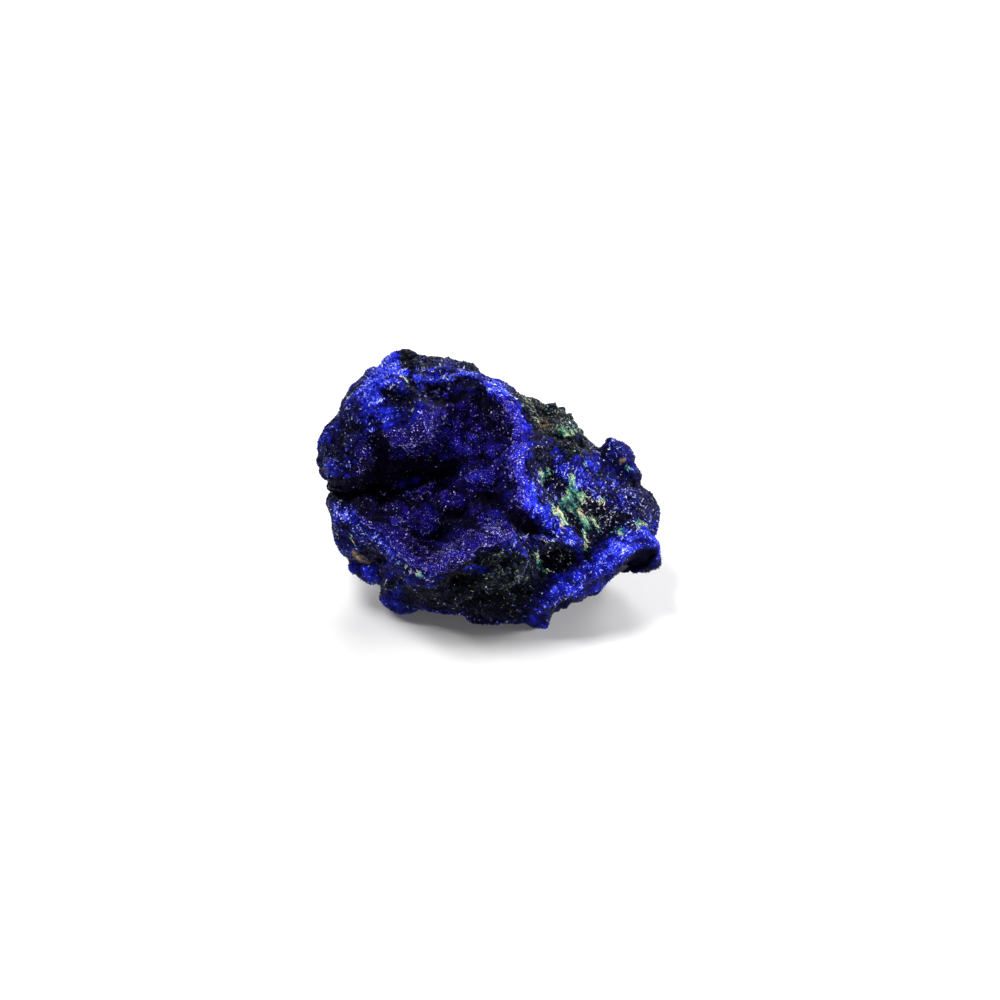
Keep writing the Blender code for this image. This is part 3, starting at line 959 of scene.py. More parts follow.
class Tree:
    """The node tree of one material."""

    def __init__(self, name: str) -> None:
        """Makes a material of that name with an empty tree.

        Args:
            name: The material's name.
        """
        self.material = bpy.data.materials.new(name)
        self.material.use_nodes = True
        self.nodes = self.material.node_tree.nodes
        self.links = self.material.node_tree.links
        self.nodes.clear()

    def node(self, kind: str, settings: dict, inputs: dict) -> Added:
        """Adds a node.

        Args:
            kind: The node's type.
            settings: Its settings, by name. "stops" holds a ramp's (place, colour) pairs.
            inputs: Values or terms for its sockets, by name or number.

        Returns:
            The added node.
        """
        made = self.nodes.new(kind)
        for key, value in settings.items():
            if key == "stops":
                self.set_stops(made.color_ramp, value)
            else:
                setattr(made, key, value)
        for key, value in inputs.items():
            socket = made.inputs[key]
            if isinstance(value, Term):
                self.links.new(value.socket, socket)
            else:
                socket.default_value = value
        return Added(self, made)

    @staticmethod
    def set_stops(colour_ramp: bpy.types.ColorRamp, stops: Stops) -> None:
        """Gives a colour ramp its stops.

        Args:
            colour_ramp: The ramp.
            stops: Its (place, colour) pairs, from left to right.
        """
        while len(colour_ramp.elements) < len(stops):
            colour_ramp.elements.new(1.0)
        for element, (place, colour) in zip(colour_ramp.elements, stops):
            element.position = place
            element.color = (*colour, 1.0)

    def maths(self, operation: str, first: Value, second: Value) -> Term:
        """A Math node of that operation on two values."""
        return self.node("ShaderNodeMath", {"operation": operation}, {0: first, 1: second}).out(0)

    def share(self, name: str) -> Term:
        """A number that the mesh carries at each point."""
        return self.node("ShaderNodeAttribute", {"attribute_name": name}, {}).out("Fac")

    def zone(self, zone: Zone) -> Term:
        """A zone's share, which the skins carry."""
        return self.share(zone.value)

    def place(self) -> Term:
        """The place on the surface, in metres of the model."""
        return self.node("ShaderNodeNewGeometry", {}, {}).out("Position")

    def noise(self, size: float, detail: float, roughness: float, place: Union[Term, None] = None) -> Term:
        """Noise from 0 to 1.

        Args:
            size: The size of its lumps, in millimetres.
            detail: How many finer layers it has.
            roughness: How strong they are.
            place: Where it is read, or None for the place on the surface.

        Returns:
            The noise.
        """
        inputs = {"Vector": place or self.place(), "Scale": 1.0 / (size * MM)}
        inputs |= {"Detail": detail, "Roughness": roughness}
        return self.node("ShaderNodeTexNoise", {}, inputs).out("Fac")

    def fibres(self, size: float) -> Term:
        """Noise drawn out into fibres of that size that run down to the right.

        Args:
            size: How thick the fibres are, in millimetres.

        Returns:
            The noise, from 0 to 1.
        """
        drawn = {
            "Vector": self.place(),
            "Rotation": (0.0, math.radians(-FIBRE_FALL_DEG), 0.0),
            "Scale": (FIBRE_PULL, 1.0, 1.0),
        }
        return self.noise(size, 3.0, 0.6, self.node("ShaderNodeMapping", {}, drawn).out("Vector"))

    def grains(self, size: float) -> Term:
        """A random number from 0 to 1 for each grain of that size in millimetres.

        Args:
            size: The mean size of the grains.

        Returns:
            The number.
        """
        inputs = {"Vector": self.place(), "Scale": 1.0 / (size * MM)}
        cell = self.node("ShaderNodeTexVoronoi", {}, inputs).out("Color")
        return self.node("ShaderNodeSeparateColor", {}, {0: cell}).out(0)

    def colours(self, value: Term, stops: Stops) -> Term:
        """A colour ramp with those stops, read at a value."""
        return self.node("ShaderNodeValToRGB", {"stops": stops}, {"Fac": value}).out("Color")

    def mix(self, share: Value, first: Term, second: Union[Term, Sequence[float]]) -> Term:
        """The first colour where the share is 0 and the second where it is 1.

        Args:
            share: How much of the second colour shows.
            first: The first colour.
            second: The second colour, as a term or as four numbers.

        Returns:
            The mixed colour.
        """
        colour_a, colour_b, mixed = 6, 7, 2
        inputs = {0: share, colour_a: first, colour_b: second}
        return self.node("ShaderNodeMix", {"data_type": "RGBA"}, inputs).out(mixed)

    def finish(self, inputs: dict, bump: Union[Term, None] = None, depth: float = 0.0) -> bpy.types.Material:
        """Adds the surface shader and the output.

        Args:
            inputs: Values or terms for the shader's sockets.
            bump: The height of fine relief, from 0 to 1, or None.
            depth: What a height of 1 stands for, in millimetres.

        Returns:
            The finished material.
        """
        if bump is not None:
            settings = {"Strength": 1.0, "Distance": depth * MM, "Height": bump}
            inputs = {**inputs, "Normal": self.node("ShaderNodeBump", {}, settings).out("Normal")}
        surface = self.node("ShaderNodeBsdfPrincipled", {}, inputs)
        self.node("ShaderNodeOutputMaterial", {}, {"Surface": surface.out("BSDF")})
        return self.material


# ---------------------------------------------------------------- finishes

REFRACTION = 1.5

# Azurite of the outside, from deep shade to white glints
AZURITE_STOPS = (
    (0.00, (0.0005, 0.0004, 0.006)),
    (0.20, (0.0010, 0.0012, 0.045)),
    (0.40, (0.0035, 0.0045, 0.175)),
    (0.60, (0.0080, 0.0130, 0.440)),
    (0.80, (0.0140, 0.0340, 0.860)),
    (0.92, (0.0400, 0.0850, 0.940)),
    (0.94, (0.1100, 0.1500, 0.700)),
    (0.97, (0.2400, 0.3000, 0.860)),
    (1.00, (0.7400, 0.7800, 1.000)),
)

# Azurite of the hollow, more violet
DRUSE_STOPS = (
    (0.00, (0.0008, 0.0003, 0.005)),
    (0.20, (0.0022, 0.0008, 0.040)),
    (0.40, (0.0060, 0.0025, 0.130)),
    (0.60, (0.0110, 0.0110, 0.370)),
    (0.80, (0.0160, 0.0300, 0.800)),
    (0.92, (0.0600, 0.0900, 0.900)),
    (0.94, (0.1300, 0.1100, 0.480)),
    (1.00, (0.6000, 0.5600, 0.960)),
)

# Black matrix with pale crumbs
BLACK_STOPS = (
    (0.00, (0.0002, 0.0002, 0.001)),
    (0.40, (0.0006, 0.0006, 0.004)),
    (0.65, (0.0025, 0.0030, 0.040)),
    (0.85, (0.0120, 0.0160, 0.120)),
    (0.93, (0.1500, 0.1600, 0.200)),
    (1.00, (0.7000, 0.7000, 0.650)),
)

# Green matrix with pale crumbs
OLIVE_STOPS = (
    (0.00, (0.0002, 0.0005, 0.0012)),
    (0.40, (0.0012, 0.0024, 0.0040)),
    (0.62, (0.0045, 0.0085, 0.0120)),
    (0.80, (0.0180, 0.0330, 0.0340)),
    (0.92, (0.0900, 0.1250, 0.0950)),
    (1.00, (0.3200, 0.3900, 0.2600)),
)

# Malachite: dark gaps, teal, yellow-green and cream
MALACHITE_STOPS = (
    (0.00, (0.0005, 0.003, 0.006)),
    (0.18, (0.004, 0.050, 0.055)),
    (0.34, (0.025, 0.220, 0.200)),
    (0.50, (0.130, 0.540, 0.460)),
    (0.64, (0.380, 0.740, 0.520)),
    (0.76, (0.480, 0.680, 0.260)),
    (0.88, (0.700, 0.800, 0.380)),
    (0.97, (0.880, 0.840, 0.560)),
    (1.00, (0.930, 0.660, 0.440)),
)

# Limonite, from dark brown to tan
LIMONITE_STOPS = (
    (0.00, (0.008, 0.004, 0.002)),
    (0.25, (0.035, 0.020, 0.009)),
    (0.60, (0.150, 0.105, 0.060)),
    (1.00, (0.420, 0.370, 0.260)),
)


@dataclass(frozen=True)
class StoneFinish:
    """The skin of the lump and of the crust: azurite, dark matrix, malachite, crumbs and limonite by share,
    with painted light, shade and sheen.

    Attributes:
        name: The material's name.
        azurite: Colours of the azurite along its tone.
        patchy: How much its patches differ in tone.
        spread: How much its smallest grains do.
        grain: The size of the skin's own grains, in millimetres.
        crest_sheen: The colour of the painted sheen on its crests.
        glint: The colour of its glints.
    """

    name: str
    azurite: Stops = AZURITE_STOPS
    patchy: float = 0.5
    spread: float = 0.9
    grain: float = 0.22
    crest_sheen: Colour = (0.160, 0.130, 0.480)
    glint: Colour = (0.55, 0.52, 1.0)

    def material(self) -> bpy.types.Material:
        """Makes the material.

        Returns:
            The finished material.
        """
        tree = Tree(self.name)
        grains = tree.grains(self.grain)
        fine = tree.noise(0.14, 5.0, 0.65)
        speck, dust = grains - 0.5, fine - 0.5
        # Painted light and shade: lift makes the skin lighter on crests and swells and darker in creases and
        # in the shade zone, with random mottle
        lift = self.lift(tree)
        tone = 0.22 + 0.4 * speck + 0.9 * dust + lift
        black, olive = tree.colours(tone, BLACK_STOPS), tree.colours(tone, OLIVE_STOPS)
        matrix = tree.mix(tree.zone(Zone.OLIVE), black, olive)
        depth = 0.10 + 0.2 * speck + self.spread * dust + 0.32 * tree.zone(Zone.BRIGHT) + lift
        blue = (tree.zone(Zone.BLUE) + 0.6 * (tree.grains(self.grain * 1.3) - 0.5)).above(0.5, 0.16)
        colour = tree.mix(blue, matrix, tree.colours(depth, self.azurite))
        # Painted sheen: a pale lavender laid over crests where the sheen zone lies
        crest_sheen = (tree.zone(Zone.DUSTY) * tree.zone(Zone.CREST) + dust).above(0.42, 0.3)
        colour = tree.mix(0.06 * crest_sheen, colour, (*self.crest_sheen, 1.0))
        inputs = {
            "Base Color": self.veined(tree, colour, tone, dust),
            "Roughness": 0.3 + 0.4 * grains,
            "IOR": REFRACTION,
            "Specular IOR Level": 0.06,
            "Specular Tint": (*self.glint, 1.0),
        }
        return tree.finish(inputs, bump=fine, depth=0.06)

    def lift(self, tree: Tree) -> Term:
        """Painted light and shade: how much lighter the skin is on crests and swells and how much darker in
        creases and in the shade zone, with its random mottle.
        """
        relief_light_and_shade = 0.35 * (tree.zone(Zone.CREST) - 0.5) + 0.25 * (tree.zone(Zone.SWELL) - 0.5)
        return relief_light_and_shade + self.patchy * (tree.zone(Zone.MOTTLE) - 0.5) - 0.40 * tree.zone(Zone.SHADE)

    @staticmethod
    def veined(tree: Tree, colour: Term, tone: Term, dust: Term) -> Term:
        """Lays malachite, its pale crumbs and limonite over a colour.

        Args:
            tree: The material's tree.
            colour: The colour that they lie on.
            tone: The tone of the limonite.
            dust: The skin's finest noise, from -0.5 to 0.5.

        Returns:
            The colour with them on it.
        """
        fibre = tree.fibres(0.16) - 0.5
        strand = 0.18 + 2.2 * fibre + 0.6 * dust
        stringy, lumpy = 2.6, 1.0
        for zone, torn, tint in (
            (Zone.MALACHITE, stringy, tree.colours(strand, MALACHITE_STOPS)),
            (Zone.PALE, stringy, tree.colours(strand + 0.20, MALACHITE_STOPS)),
            (Zone.LIMONITE, lumpy, tree.colours(tone + 0.10, LIMONITE_STOPS)),
        ):
            shown = (tree.zone(zone) + torn * fibre).above(0.35 + 0.23 * torn, 0.3)
            colour = tree.mix(shown, colour, tint)
        return colour


@dataclass(frozen=True)
class CrystalFinish:
    """Crystals or grains whose colour follows the tone that each one carries.

    Attributes:
        name: The material's name.
        stops: The colours along the tone, from 0 to 1.
        roughness: How blurred the glints of the faces are.
        gloss: How strong they are.
        glint: The colour of the glints.
    """

    name: str
    stops: Stops
    roughness: float = 0.14
    gloss: float = 0.32
    glint: Colour = (0.55, 0.55, 1.0)

    def material(self) -> bpy.types.Material:
        """Makes the material.

        Returns:
            The finished material.
        """
        tree = Tree(self.name)
        striae = tree.noise(0.08, 2.0, 0.5)
        tone = tree.share(TONE) + 0.12 * (striae - 0.5)
        inputs = {
            "Base Color": tree.colours(tone, self.stops),
            "Roughness": self.roughness + 0.12 * striae,
            "IOR": REFRACTION,
            "Specular IOR Level": self.gloss,
            "Specular Tint": (*self.glint, 1.0),
        }
        return tree.finish(inputs, bump=striae, depth=0.006)


# ---------------------------------------------------------------- mesh helpers

def triangles_of(mesh: bpy.types.Mesh) -> Array:
    """The corners of each of the mesh's triangles.

    Args:
        mesh: The mesh.

    Returns:
        The numbers of three points a triangle.
    """
    mesh.calc_loop_triangles()
    corners = np.empty(len(mesh.loop_triangles) * 3, np.int64)
    mesh.loop_triangles.foreach_get("vertices", corners)
    return corners.reshape(-1, 3)


def points_of(mesh: bpy.types.Mesh) -> Array:
    """The mesh's points, one row a point.

    Args:
        mesh: The mesh.

    Returns:
        Their places, in metres.
    """
    co = np.empty(len(mesh.vertices) * 3)
    mesh.vertices.foreach_get("co", co)
    return co.reshape(-1, 3)


def mesh_of(name: str, points: Array, triangles: Array) -> bpy.types.Mesh:
    """A mesh of flat triangles.

    Args:
        name: The mesh's name.
        points: Its corners, in metres.
        triangles: The corners of each triangle.

    Returns:
        The mesh.
    """
    mesh = bpy.data.meshes.new(name)
    mesh.vertices.add(len(points))
    mesh.vertices.foreach_set("co", points.reshape(-1))
    mesh.loops.add(triangles.size)
    mesh.loops.foreach_set("vertex_index", triangles.reshape(-1))
    mesh.polygons.add(len(triangles))
    mesh.polygons.foreach_set("loop_start", np.arange(0, triangles.size, 3))
    mesh.update(calc_edges=True)
    mesh.polygons.foreach_set("use_smooth", np.zeros(len(triangles), bool))
    return mesh


def carry(mesh: bpy.types.Mesh, name: str, values: Array) -> None:
    """Gives each point of a mesh a number, under that name.

    Args:
        mesh: The mesh.
        name: What the numbers are called.
        values: One number a point.
    """
    attribute = mesh.attributes.new(name, "FLOAT", "POINT")
    attribute.data.foreach_set("value", values.astype(np.float32))


def placed(name: str, mesh: bpy.types.Mesh) -> bpy.types.Object:
    """An object of that mesh, in the scene.

    Args:
        name: The object's name.
        mesh: Its mesh.

    Returns:
        The object.
    """
    obj = bpy.data.objects.new(name, mesh)
    bpy.context.scene.collection.objects.link(obj)
    return obj


def remesh(voxel: float) -> Step:
    """A step that gives a mesh an even grid of that size, in millimetres."""
    return "REMESH", {"mode": "VOXEL", "voxel_size": voxel * MM}


def swell(reach: float) -> Step:
    """A step that moves a mesh outwards by that many millimetres, or inwards."""
    return "DISPLACE", {"strength": reach * MM, "mid_level": 0.0}


def rounding(times: int) -> Step:
    """A step that rounds a mesh, that many times."""
    return "SMOOTH", {"factor": 0.5, "iterations": times}


def thinning(share: float) -> Step:
    """A step that leaves that share of a mesh's triangles, where they matter most."""
    return "DECIMATE", {"ratio": share}


def worked(obj: bpy.types.Object, steps: Sequence[Step]) -> None:
    """Changes an object's mesh by modifiers, one after another.

    Args:
        obj: The object.
        steps: Each modifier's type and settings.
    """
    for number, (kind, settings) in enumerate(steps):
        modifier = obj.modifiers.new(f"step {number}", kind)
        for key, value in settings.items():
            setattr(modifier, key, value)
    graph = bpy.context.evaluated_depsgraph_get()
    graph.update()
    mesh = bpy.data.meshes.new_from_object(obj.evaluated_get(graph))
    obj.modifiers.clear()
    obj.data = mesh


def largest_shell(points: Array, triangles: Array) -> tuple[Array, Array]:
    """Leaves out all but the largest of a mesh's separate shells.

    Args:
        points: The mesh's points.
        triangles: The corners of each triangle.

    Returns:
        The points and the triangles that stay.
    """
    label = np.arange(len(points))
    while True:
        lowest = label.copy()
        np.minimum.at(lowest, triangles.reshape(-1), np.repeat(label[triangles].min(axis=1), 3))
        lowest = lowest[lowest]
        if np.array_equal(lowest, label):
            break
        label = lowest
    kept = label == np.bincount(label).argmax()
    number = np.cumsum(kept) - 1
    return points[kept], number[triangles[kept[triangles[:, 0]]]]


def ball(rings: int = 8, sides: int = 14) -> tuple[Array, Array]:
    """The points and triangles of a ball with a radius of 1.

    Args:
        rings: How many rings of faces lie between its poles.
        sides: How many faces lie round a ring.

    Returns:
        Its points, and the corners of each triangle.
    """
    points = [(0.0, 0.0, 1.0)]
    for polar in np.linspace(0.0, math.pi, rings + 1)[1:-1]:
        for turn in np.arange(sides) * 2.0 * math.pi / sides:
            level = (math.sin(polar) * math.cos(turn), math.sin(polar) * math.sin(turn))
            points.append((*level, math.cos(polar)))
    points.append((0.0, 0.0, -1.0))
    last = len(points) - 1
    triangles = []
    for side in range(sides):
        other = (side + 1) % sides
        triangles.append((0, 1 + side, 1 + other))
        for ring in range(rings - 2):
            start = 1 + ring * sides
            low, high = start + side, start + other
            triangles += [(low, low + sides, high), (high, low + sides, high + sides)]
        start = 1 + (rings - 2) * sides
        triangles.append((start + other, start + side, last))
    return np.array(points), np.array(triangles)


BALL = ball()


# ---------------------------------------------------------------- skins

# The way up the face across the lower lip, and how far below the middle the lift along the border fades out
LIP_SLOPE = np.array((0.25, 0.97))
LIP_FADE = (4.0, 6.0)
# How the ridges of the matrix are drawn out
STREAKS = np.array(((0.90, 0.0, 0.55), (0.0, 1.0, 0.0), (-0.25, 0.0, 1.35)))


@dataclass(frozen=True)
class Relief:
    """The fine relief of the skins: lumps everywhere, beads and blocks of azurite, and ridged matrix.

    Attributes:
        lump: Height of the lumps, in millimetres.
        bead: Height of the beads.
        block: Height of the blocks.
        ridge: Height of the ridges.
        cavern: Depth of the caverns.
        bead_sizes: Sizes of the large and of the small beads.
        block_size: Size of the blocks.
        crease: How far the creases round a block reach, as a share of its size.
        worn: How much of the relief is lost where the stone broke clean.
        crisp: How much is gained in bright zones.
    """

    lump: float = 0.34
    bead: float = 0.16
    block: float = 0.34
    ridge: float = 0.60
    cavern: float = 0.50
    bead_sizes: tuple[float, float] = (1.2, 0.5)
    block_size: float = 0.48
    crease: float = 0.25
    worn: float = 0.85
    crisp: float = 0.25

    def height(self, points: Array, shares: Shares) -> Array:
        """How far the relief stands out.

        Args:
            points: Places in the face frame, one row a place.
            shares: The zones' shares there.

        Returns:
            The height at each place, in millimetres.
        """
        azurite = shares[Zone.BLUE]
        large, small = self.bead_sizes
        beads = self.bead * Noise(22).domes(points, large) + self.bead * Noise(23).domes(points, small)
        total = self.lump * Layer(21, 2.6, 5, 0.6).at(points) + azurite * beads
        total = total + shares[Zone.COARSE] * self.blocks(points)
        total += (1.0 - azurite) * self.matrix(points, shares[Zone.OLIVE])
        return total * (1.0 - self.worn * shares[Zone.BARE]) * (1.0 + self.crisp * shares[Zone.BRIGHT])

    def blocks(self, points: Array) -> Array:
        """The height of blocks that stand out or lie back, with creases between them.

        Args:
            points: Places in the face frame, one row a place.

        Returns:
            The height at each place.
        """
        nearest, second, label = Noise(24).cells(points, self.block_size)
        return self.block * (label - 0.5) * ramp(second - nearest, 0.0, self.crease)

    def matrix(self, points: Array, olive: Array) -> Array:
        """The height of the matrix: drawn-out ridges, and caverns that are deepest where it is green.

        Args:
            points: Places in the face frame, one row a place.
            olive: How green the matrix is there.

        Returns:
            The height at each place.
        """
        ridged = self.ridge * (0.5 - np.abs(Layer(25, 0.9, 3, 0.6).at(points @ STREAKS)))
        caverns = -self.cavern * ramp(Layer(26, 1.5, 3).at(points), 0.05, 0.4)
        return ridged + caverns * (0.4 + 0.6 * olive)


@dataclass(frozen=True)
class Footprint:
    """Where a skin lies on the face, and how far it stands out there, on an even grid.

    Attributes:
        front: The smallest Y in each cell of the grid, or infinity where the skin doesn't reach.
        low: The number of the grid's first cell, to the right and up.
        cell: The side of a cell, in millimetres.
    """

    front: Array
    low: Array
    cell: float

    @classmethod
    def of(cls, points: Array, cell: float = 0.25, margin: int = 3) -> "Footprint":
        """The footprint of a skin with those points, and as many empty cells round it.

        Args:
            points: The skin's points in the face frame.
            cell: The side of a cell, in millimetres.
            margin: How many empty cells lie round it.

        Returns:
            The footprint.
        """
        spots = np.floor(points[:, [0, 2]] / cell).astype(int)
        low = spots.min(axis=0) - margin
        front = np.full(spots.max(axis=0) - low + margin + 1, np.inf)
        np.minimum.at(front, tuple((spots - low).T), points[:, 1])
        return cls(front, low, cell)

    def border(self) -> tuple[Array, Array]:
        """The cells along the skin's border, and the smallest Y round each of them.

        Returns:
            The numbers of each cell, across and up, and one Y a cell.
        """
        sides = [np.roll(self.front, step, axis) for axis in (0, 1) for step in (-1, 1)]
        border = np.argwhere(np.isfinite(self.front) & ~np.isfinite(np.max(sides, axis=0)))
        reach = 2
        steps = [np.array(step) - reach for step in np.ndindex(2 * reach + 1, 2 * reach + 1)]
        return border, np.min([self.front[tuple((border + step).T)] for step in steps], axis=0)

    def places(self, points: Array) -> Array:
        """Where those points lie on the grid, in cells."""
        return points[:, [0, 2]] / self.cell - self.low

    def holds(self, points: Array) -> Array:
        """Whether the skin lies before or behind each of those points."""
        spots = np.floor(points[:, [0, 2]] / self.cell).astype(int) - self.low
        return np.isfinite(self.front[tuple(np.clip(spots, 0, np.array(self.front.shape) - 1).T)])


@dataclass
class Skin:
    """The fine skin that stands for one solid of the model.

    Attributes:
        node: The solid that it stands for.
        name: The skin's name.
        slot: The record's material slot that it belongs to, which its growths carry along.
        finish: What it is made of.
        solids: The solids that it closes over.
        steps: The steps that close over the solids' coarse facets.
        last_steps: The steps that turn the closed skin into an even fine mesh.
        most: How many triangles it may have.
        beads: Beads that stand out of the solids' outline, as (x, z, radius).
        obj: The skin itself.
        points: Its points in the face frame.
        normals: Which way it faces at each of them.
        shares: The zones' shares there.
        open: 1 at points where crystals may grow and 0 under another skin.
    """

    node: str
    name: str
    slot: str
    finish: StoneFinish
    solids: tuple[str, ...]
    steps: tuple[Step, ...]
    last_steps: tuple[Step, ...]
    most: int
    beads: tuple[tuple[float, float, float], ...] = ()
    obj: bpy.types.Object = field(init=False)
    points: Array = field(init=False)
    normals: Array = field(init=False)
    shares: Shares = field(init=False)
    open: Array = field(init=False)

    def start(self) -> None:
        """Closes over the solids with a coarse but even mesh."""
        self.obj = placed(self.name, self.joined())
        worked(self.obj, self.steps)
        self.read()

    def build(self) -> None:
        """Refines and dresses the skin."""
        worked(self.obj, self.last_steps)
        mesh = self.obj.data
        self.obj.data = mesh_of(self.name, *largest_shell(points_of(mesh), triangles_of(mesh)))
        self.read()
        self.move(OUTWARD * GEOLOGY.forms(self.points, self.normals)[:, None])
        relief = Relief().height(self.points, GEOLOGY.shares(self.points, self.normals))
        self.move(self.normals * relief[:, None])
        worked(self.obj, [thinning(min(1.0, self.most / len(self.obj.data.polygons)))])
        self.read()
        # Thinning can leave a point a little under the ground, and any move lifts it again
        self.move(np.zeros_like(self.points))
        self.shares = GEOLOGY.shares(self.points, self.normals)
        self.shares[Zone.SWELL] = ramp(GEOLOGY.forms(self.points, self.normals), -0.6, 0.6)
        self.shares[Zone.CREST] = self.crests()
        self.dress()
        log.info("%s: %d triangles", self.name, len(self.obj.data.polygons))

    def joined(self) -> bpy.types.Mesh:
        """The solids and the beads as one mesh.

        Returns:
            The mesh, in metres of the model.
        """
        points, triangles, count = [], [], 0
        for solid in self.solids:
            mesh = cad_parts[solid].data
            points.append(points_of(mesh))
            triangles.append(triangles_of(mesh) + count)
            count += len(mesh.vertices)
        places = FACE.from_model(np.concatenate(points))
        for x, z, radius in self.beads:
            nearest = np.argmin(np.hypot(places[:, 0] - x, places[:, 2] - z))
            middle = FACE.to_model((x, places[nearest, 1], z))
            points.append(np.array(middle) + radius * MM * BALL[0])
            triangles.append(BALL[1] + count)
            count += len(BALL[0])
        return mesh_of(self.name, np.concatenate(points), np.concatenate(triangles))

    def read(self) -> None:
        """Reads the mesh into the face frame."""
        mesh = self.obj.data
        normals = np.empty(len(mesh.vertices) * 3)
        mesh.vertices.foreach_get("normal", normals)
        self.points = FACE.from_model(points_of(mesh))
        self.normals = FACE.direction_from_model(normals.reshape(-1, 3))

    def move(self, by: Array) -> None:
        """Moves each point by so many millimetres of the face frame, but nothing sinks into the ground.

        Args:
            by: How far each point moves, one row a point.
        """
        self.obj.data.vertices.foreach_set("co", FACE.on_ground(self.points + by).reshape(-1))
        self.obj.data.update()
        self.read()

    def meet(self, other: "Skin", reach: float = 2.4, most: float = 3.0, facing: float = 0.2) -> None:
        """Brings the skin round another one up to that one's border, so that no step shows between them.

        Args:
            other: The skin that lies on this one.
            reach: How far from the border this skin is lifted, in millimetres.
            most: The highest step that is lifted, in millimetres.
            facing: How far this skin may face away and still be lifted.
        """
        footprint = Footprint.of(other.points)
        border, front = footprint.border()
        tree = KDTree(len(border))
        for number, (right, up) in enumerate(border + 0.5):
            tree.insert((right, up, 0.0), number)
        tree.balance()
        places = footprint.places(self.points)
        lift = np.zeros(len(self.points))
        for number in np.flatnonzero(~footprint.holds(self.points) & (self.normals[:, 1] < facing)):
            _, nearest, cells = tree.find((*places[number], 0.0))
            gap = cells * footprint.cell
            step = self.points[number, 1] - front[nearest]
            if 0.0 < step < most and gap < reach:
                lift[number] = step * (1.0 - gap / reach) ** 2
        lift *= 1.0 - 0.7 * ramp(-LIP_SLOPE @ self.points[:, [0, 2]].T, *LIP_FADE)
        self.move(OUTWARD * lift[:, None])

    def crests(self, rounds: int = 24, scale: float = 0.16) -> Array:
        """How far each point stands out of its surroundings: 0 in a crease, 1 on a crest.

        Args:
            rounds: How wide the surroundings are, in rounds of evening out.
            scale: The height, in millimetres, that makes a full crest.

        Returns:
            One number a point.
        """
        mesh = self.obj.data
        ends = np.empty(len(mesh.edges) * 2, np.int64)
        mesh.edges.foreach_get("vertices", ends)
        near, far = ends.reshape(-1, 2).T
        count = len(self.points)
        degree = np.maximum(np.bincount(ends, minlength=count), 1)[:, None]
        even = self.points
        for _ in range(rounds):
            sums = [
                np.bincount(near, even[far, axis], count) + np.bincount(far, even[near, axis], count)
                for axis in range(3)
            ]
            even = 0.5 * even + 0.5 * np.stack(sums, axis=1) / degree
        height = ((self.points - even) * self.normals).sum(axis=1)
        return np.clip(0.5 + 0.5 * height / scale, 0.0, 1.0)

    def dress(self) -> None:
        """Gives the mesh its shares, its material and its place in the model."""
        mesh = self.obj.data
        mesh.name = self.name
        for zone, share in self.shares.items():
            carry(mesh, zone.value, share)
        smooth = self.shares[Zone.BARE][triangles_of(mesh)].mean(axis=1) > 0.5
        mesh.polygons.foreach_set("use_smooth", smooth)
        mesh.materials.clear()
        mesh.materials.append(self.finish.material())
        self.open = np.ones(len(self.points))
        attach(self.obj, BODY)
        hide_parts(self.node)

    def cover(self, other: "Skin", reach: float = 0.3) -> None:
        """Notes where another skin lies over this one, so that nothing grows there.

        Args:
            other: The skin that lies over it.
            reach: How close the two lie there, in millimetres.
        """
        tree = BVHTree.FromPolygons(other.points.tolist(), triangles_of(other.obj.data).tolist())
        self.open = np.array([float(tree.find_nearest(point, reach)[0] is None) for point in self.points])


# ---------------------------------------------------------------- crystals

# The name of the number that each crystal carries for its finish, and the tone from which it counts as pale
TONE = "tone"
PALE_TONE = 0.92

# Along the malachite's fibres, down to the right, and across them
RUN = np.array((0.52, 0.0, -0.85))
ACROSS = np.array((0.85, 0.0, 0.52))


class Habit(Enum):
    """The shape that a crystal grows in, as corners and triangles, with its growing end at +Z."""

    SHARD = (
        ((0.9, 0.0, -0.5), (-0.5, 0.8, -0.5), (-0.4, -0.85, -0.45), (0.1, 0.05, 1.0)),
        ((0, 2, 1), (0, 1, 3), (1, 2, 3), (2, 0, 3)),
    )
    BIPYRAMID = (
        (
            (1.0, 0.1, 0.0), (-0.1, 1.0, 0.1), (-1.0, -0.1, 0.0),
            (0.1, -1.0, -0.1), (0.2, 0.1, 1.0), (0.0, 0.0, -1.0),
        ),
        ((0, 1, 4), (1, 2, 4), (2, 3, 4), (3, 0, 4), (1, 0, 5), (2, 1, 5), (3, 2, 5), (0, 3, 5)),
    )

    @property
    def corners(self) -> Array:
        """The corners, one row a corner."""
        return np.array(self.value[0])

    @property
    def triangles(self) -> Array:
        """The corners of each triangle."""
        return np.array(self.value[1])


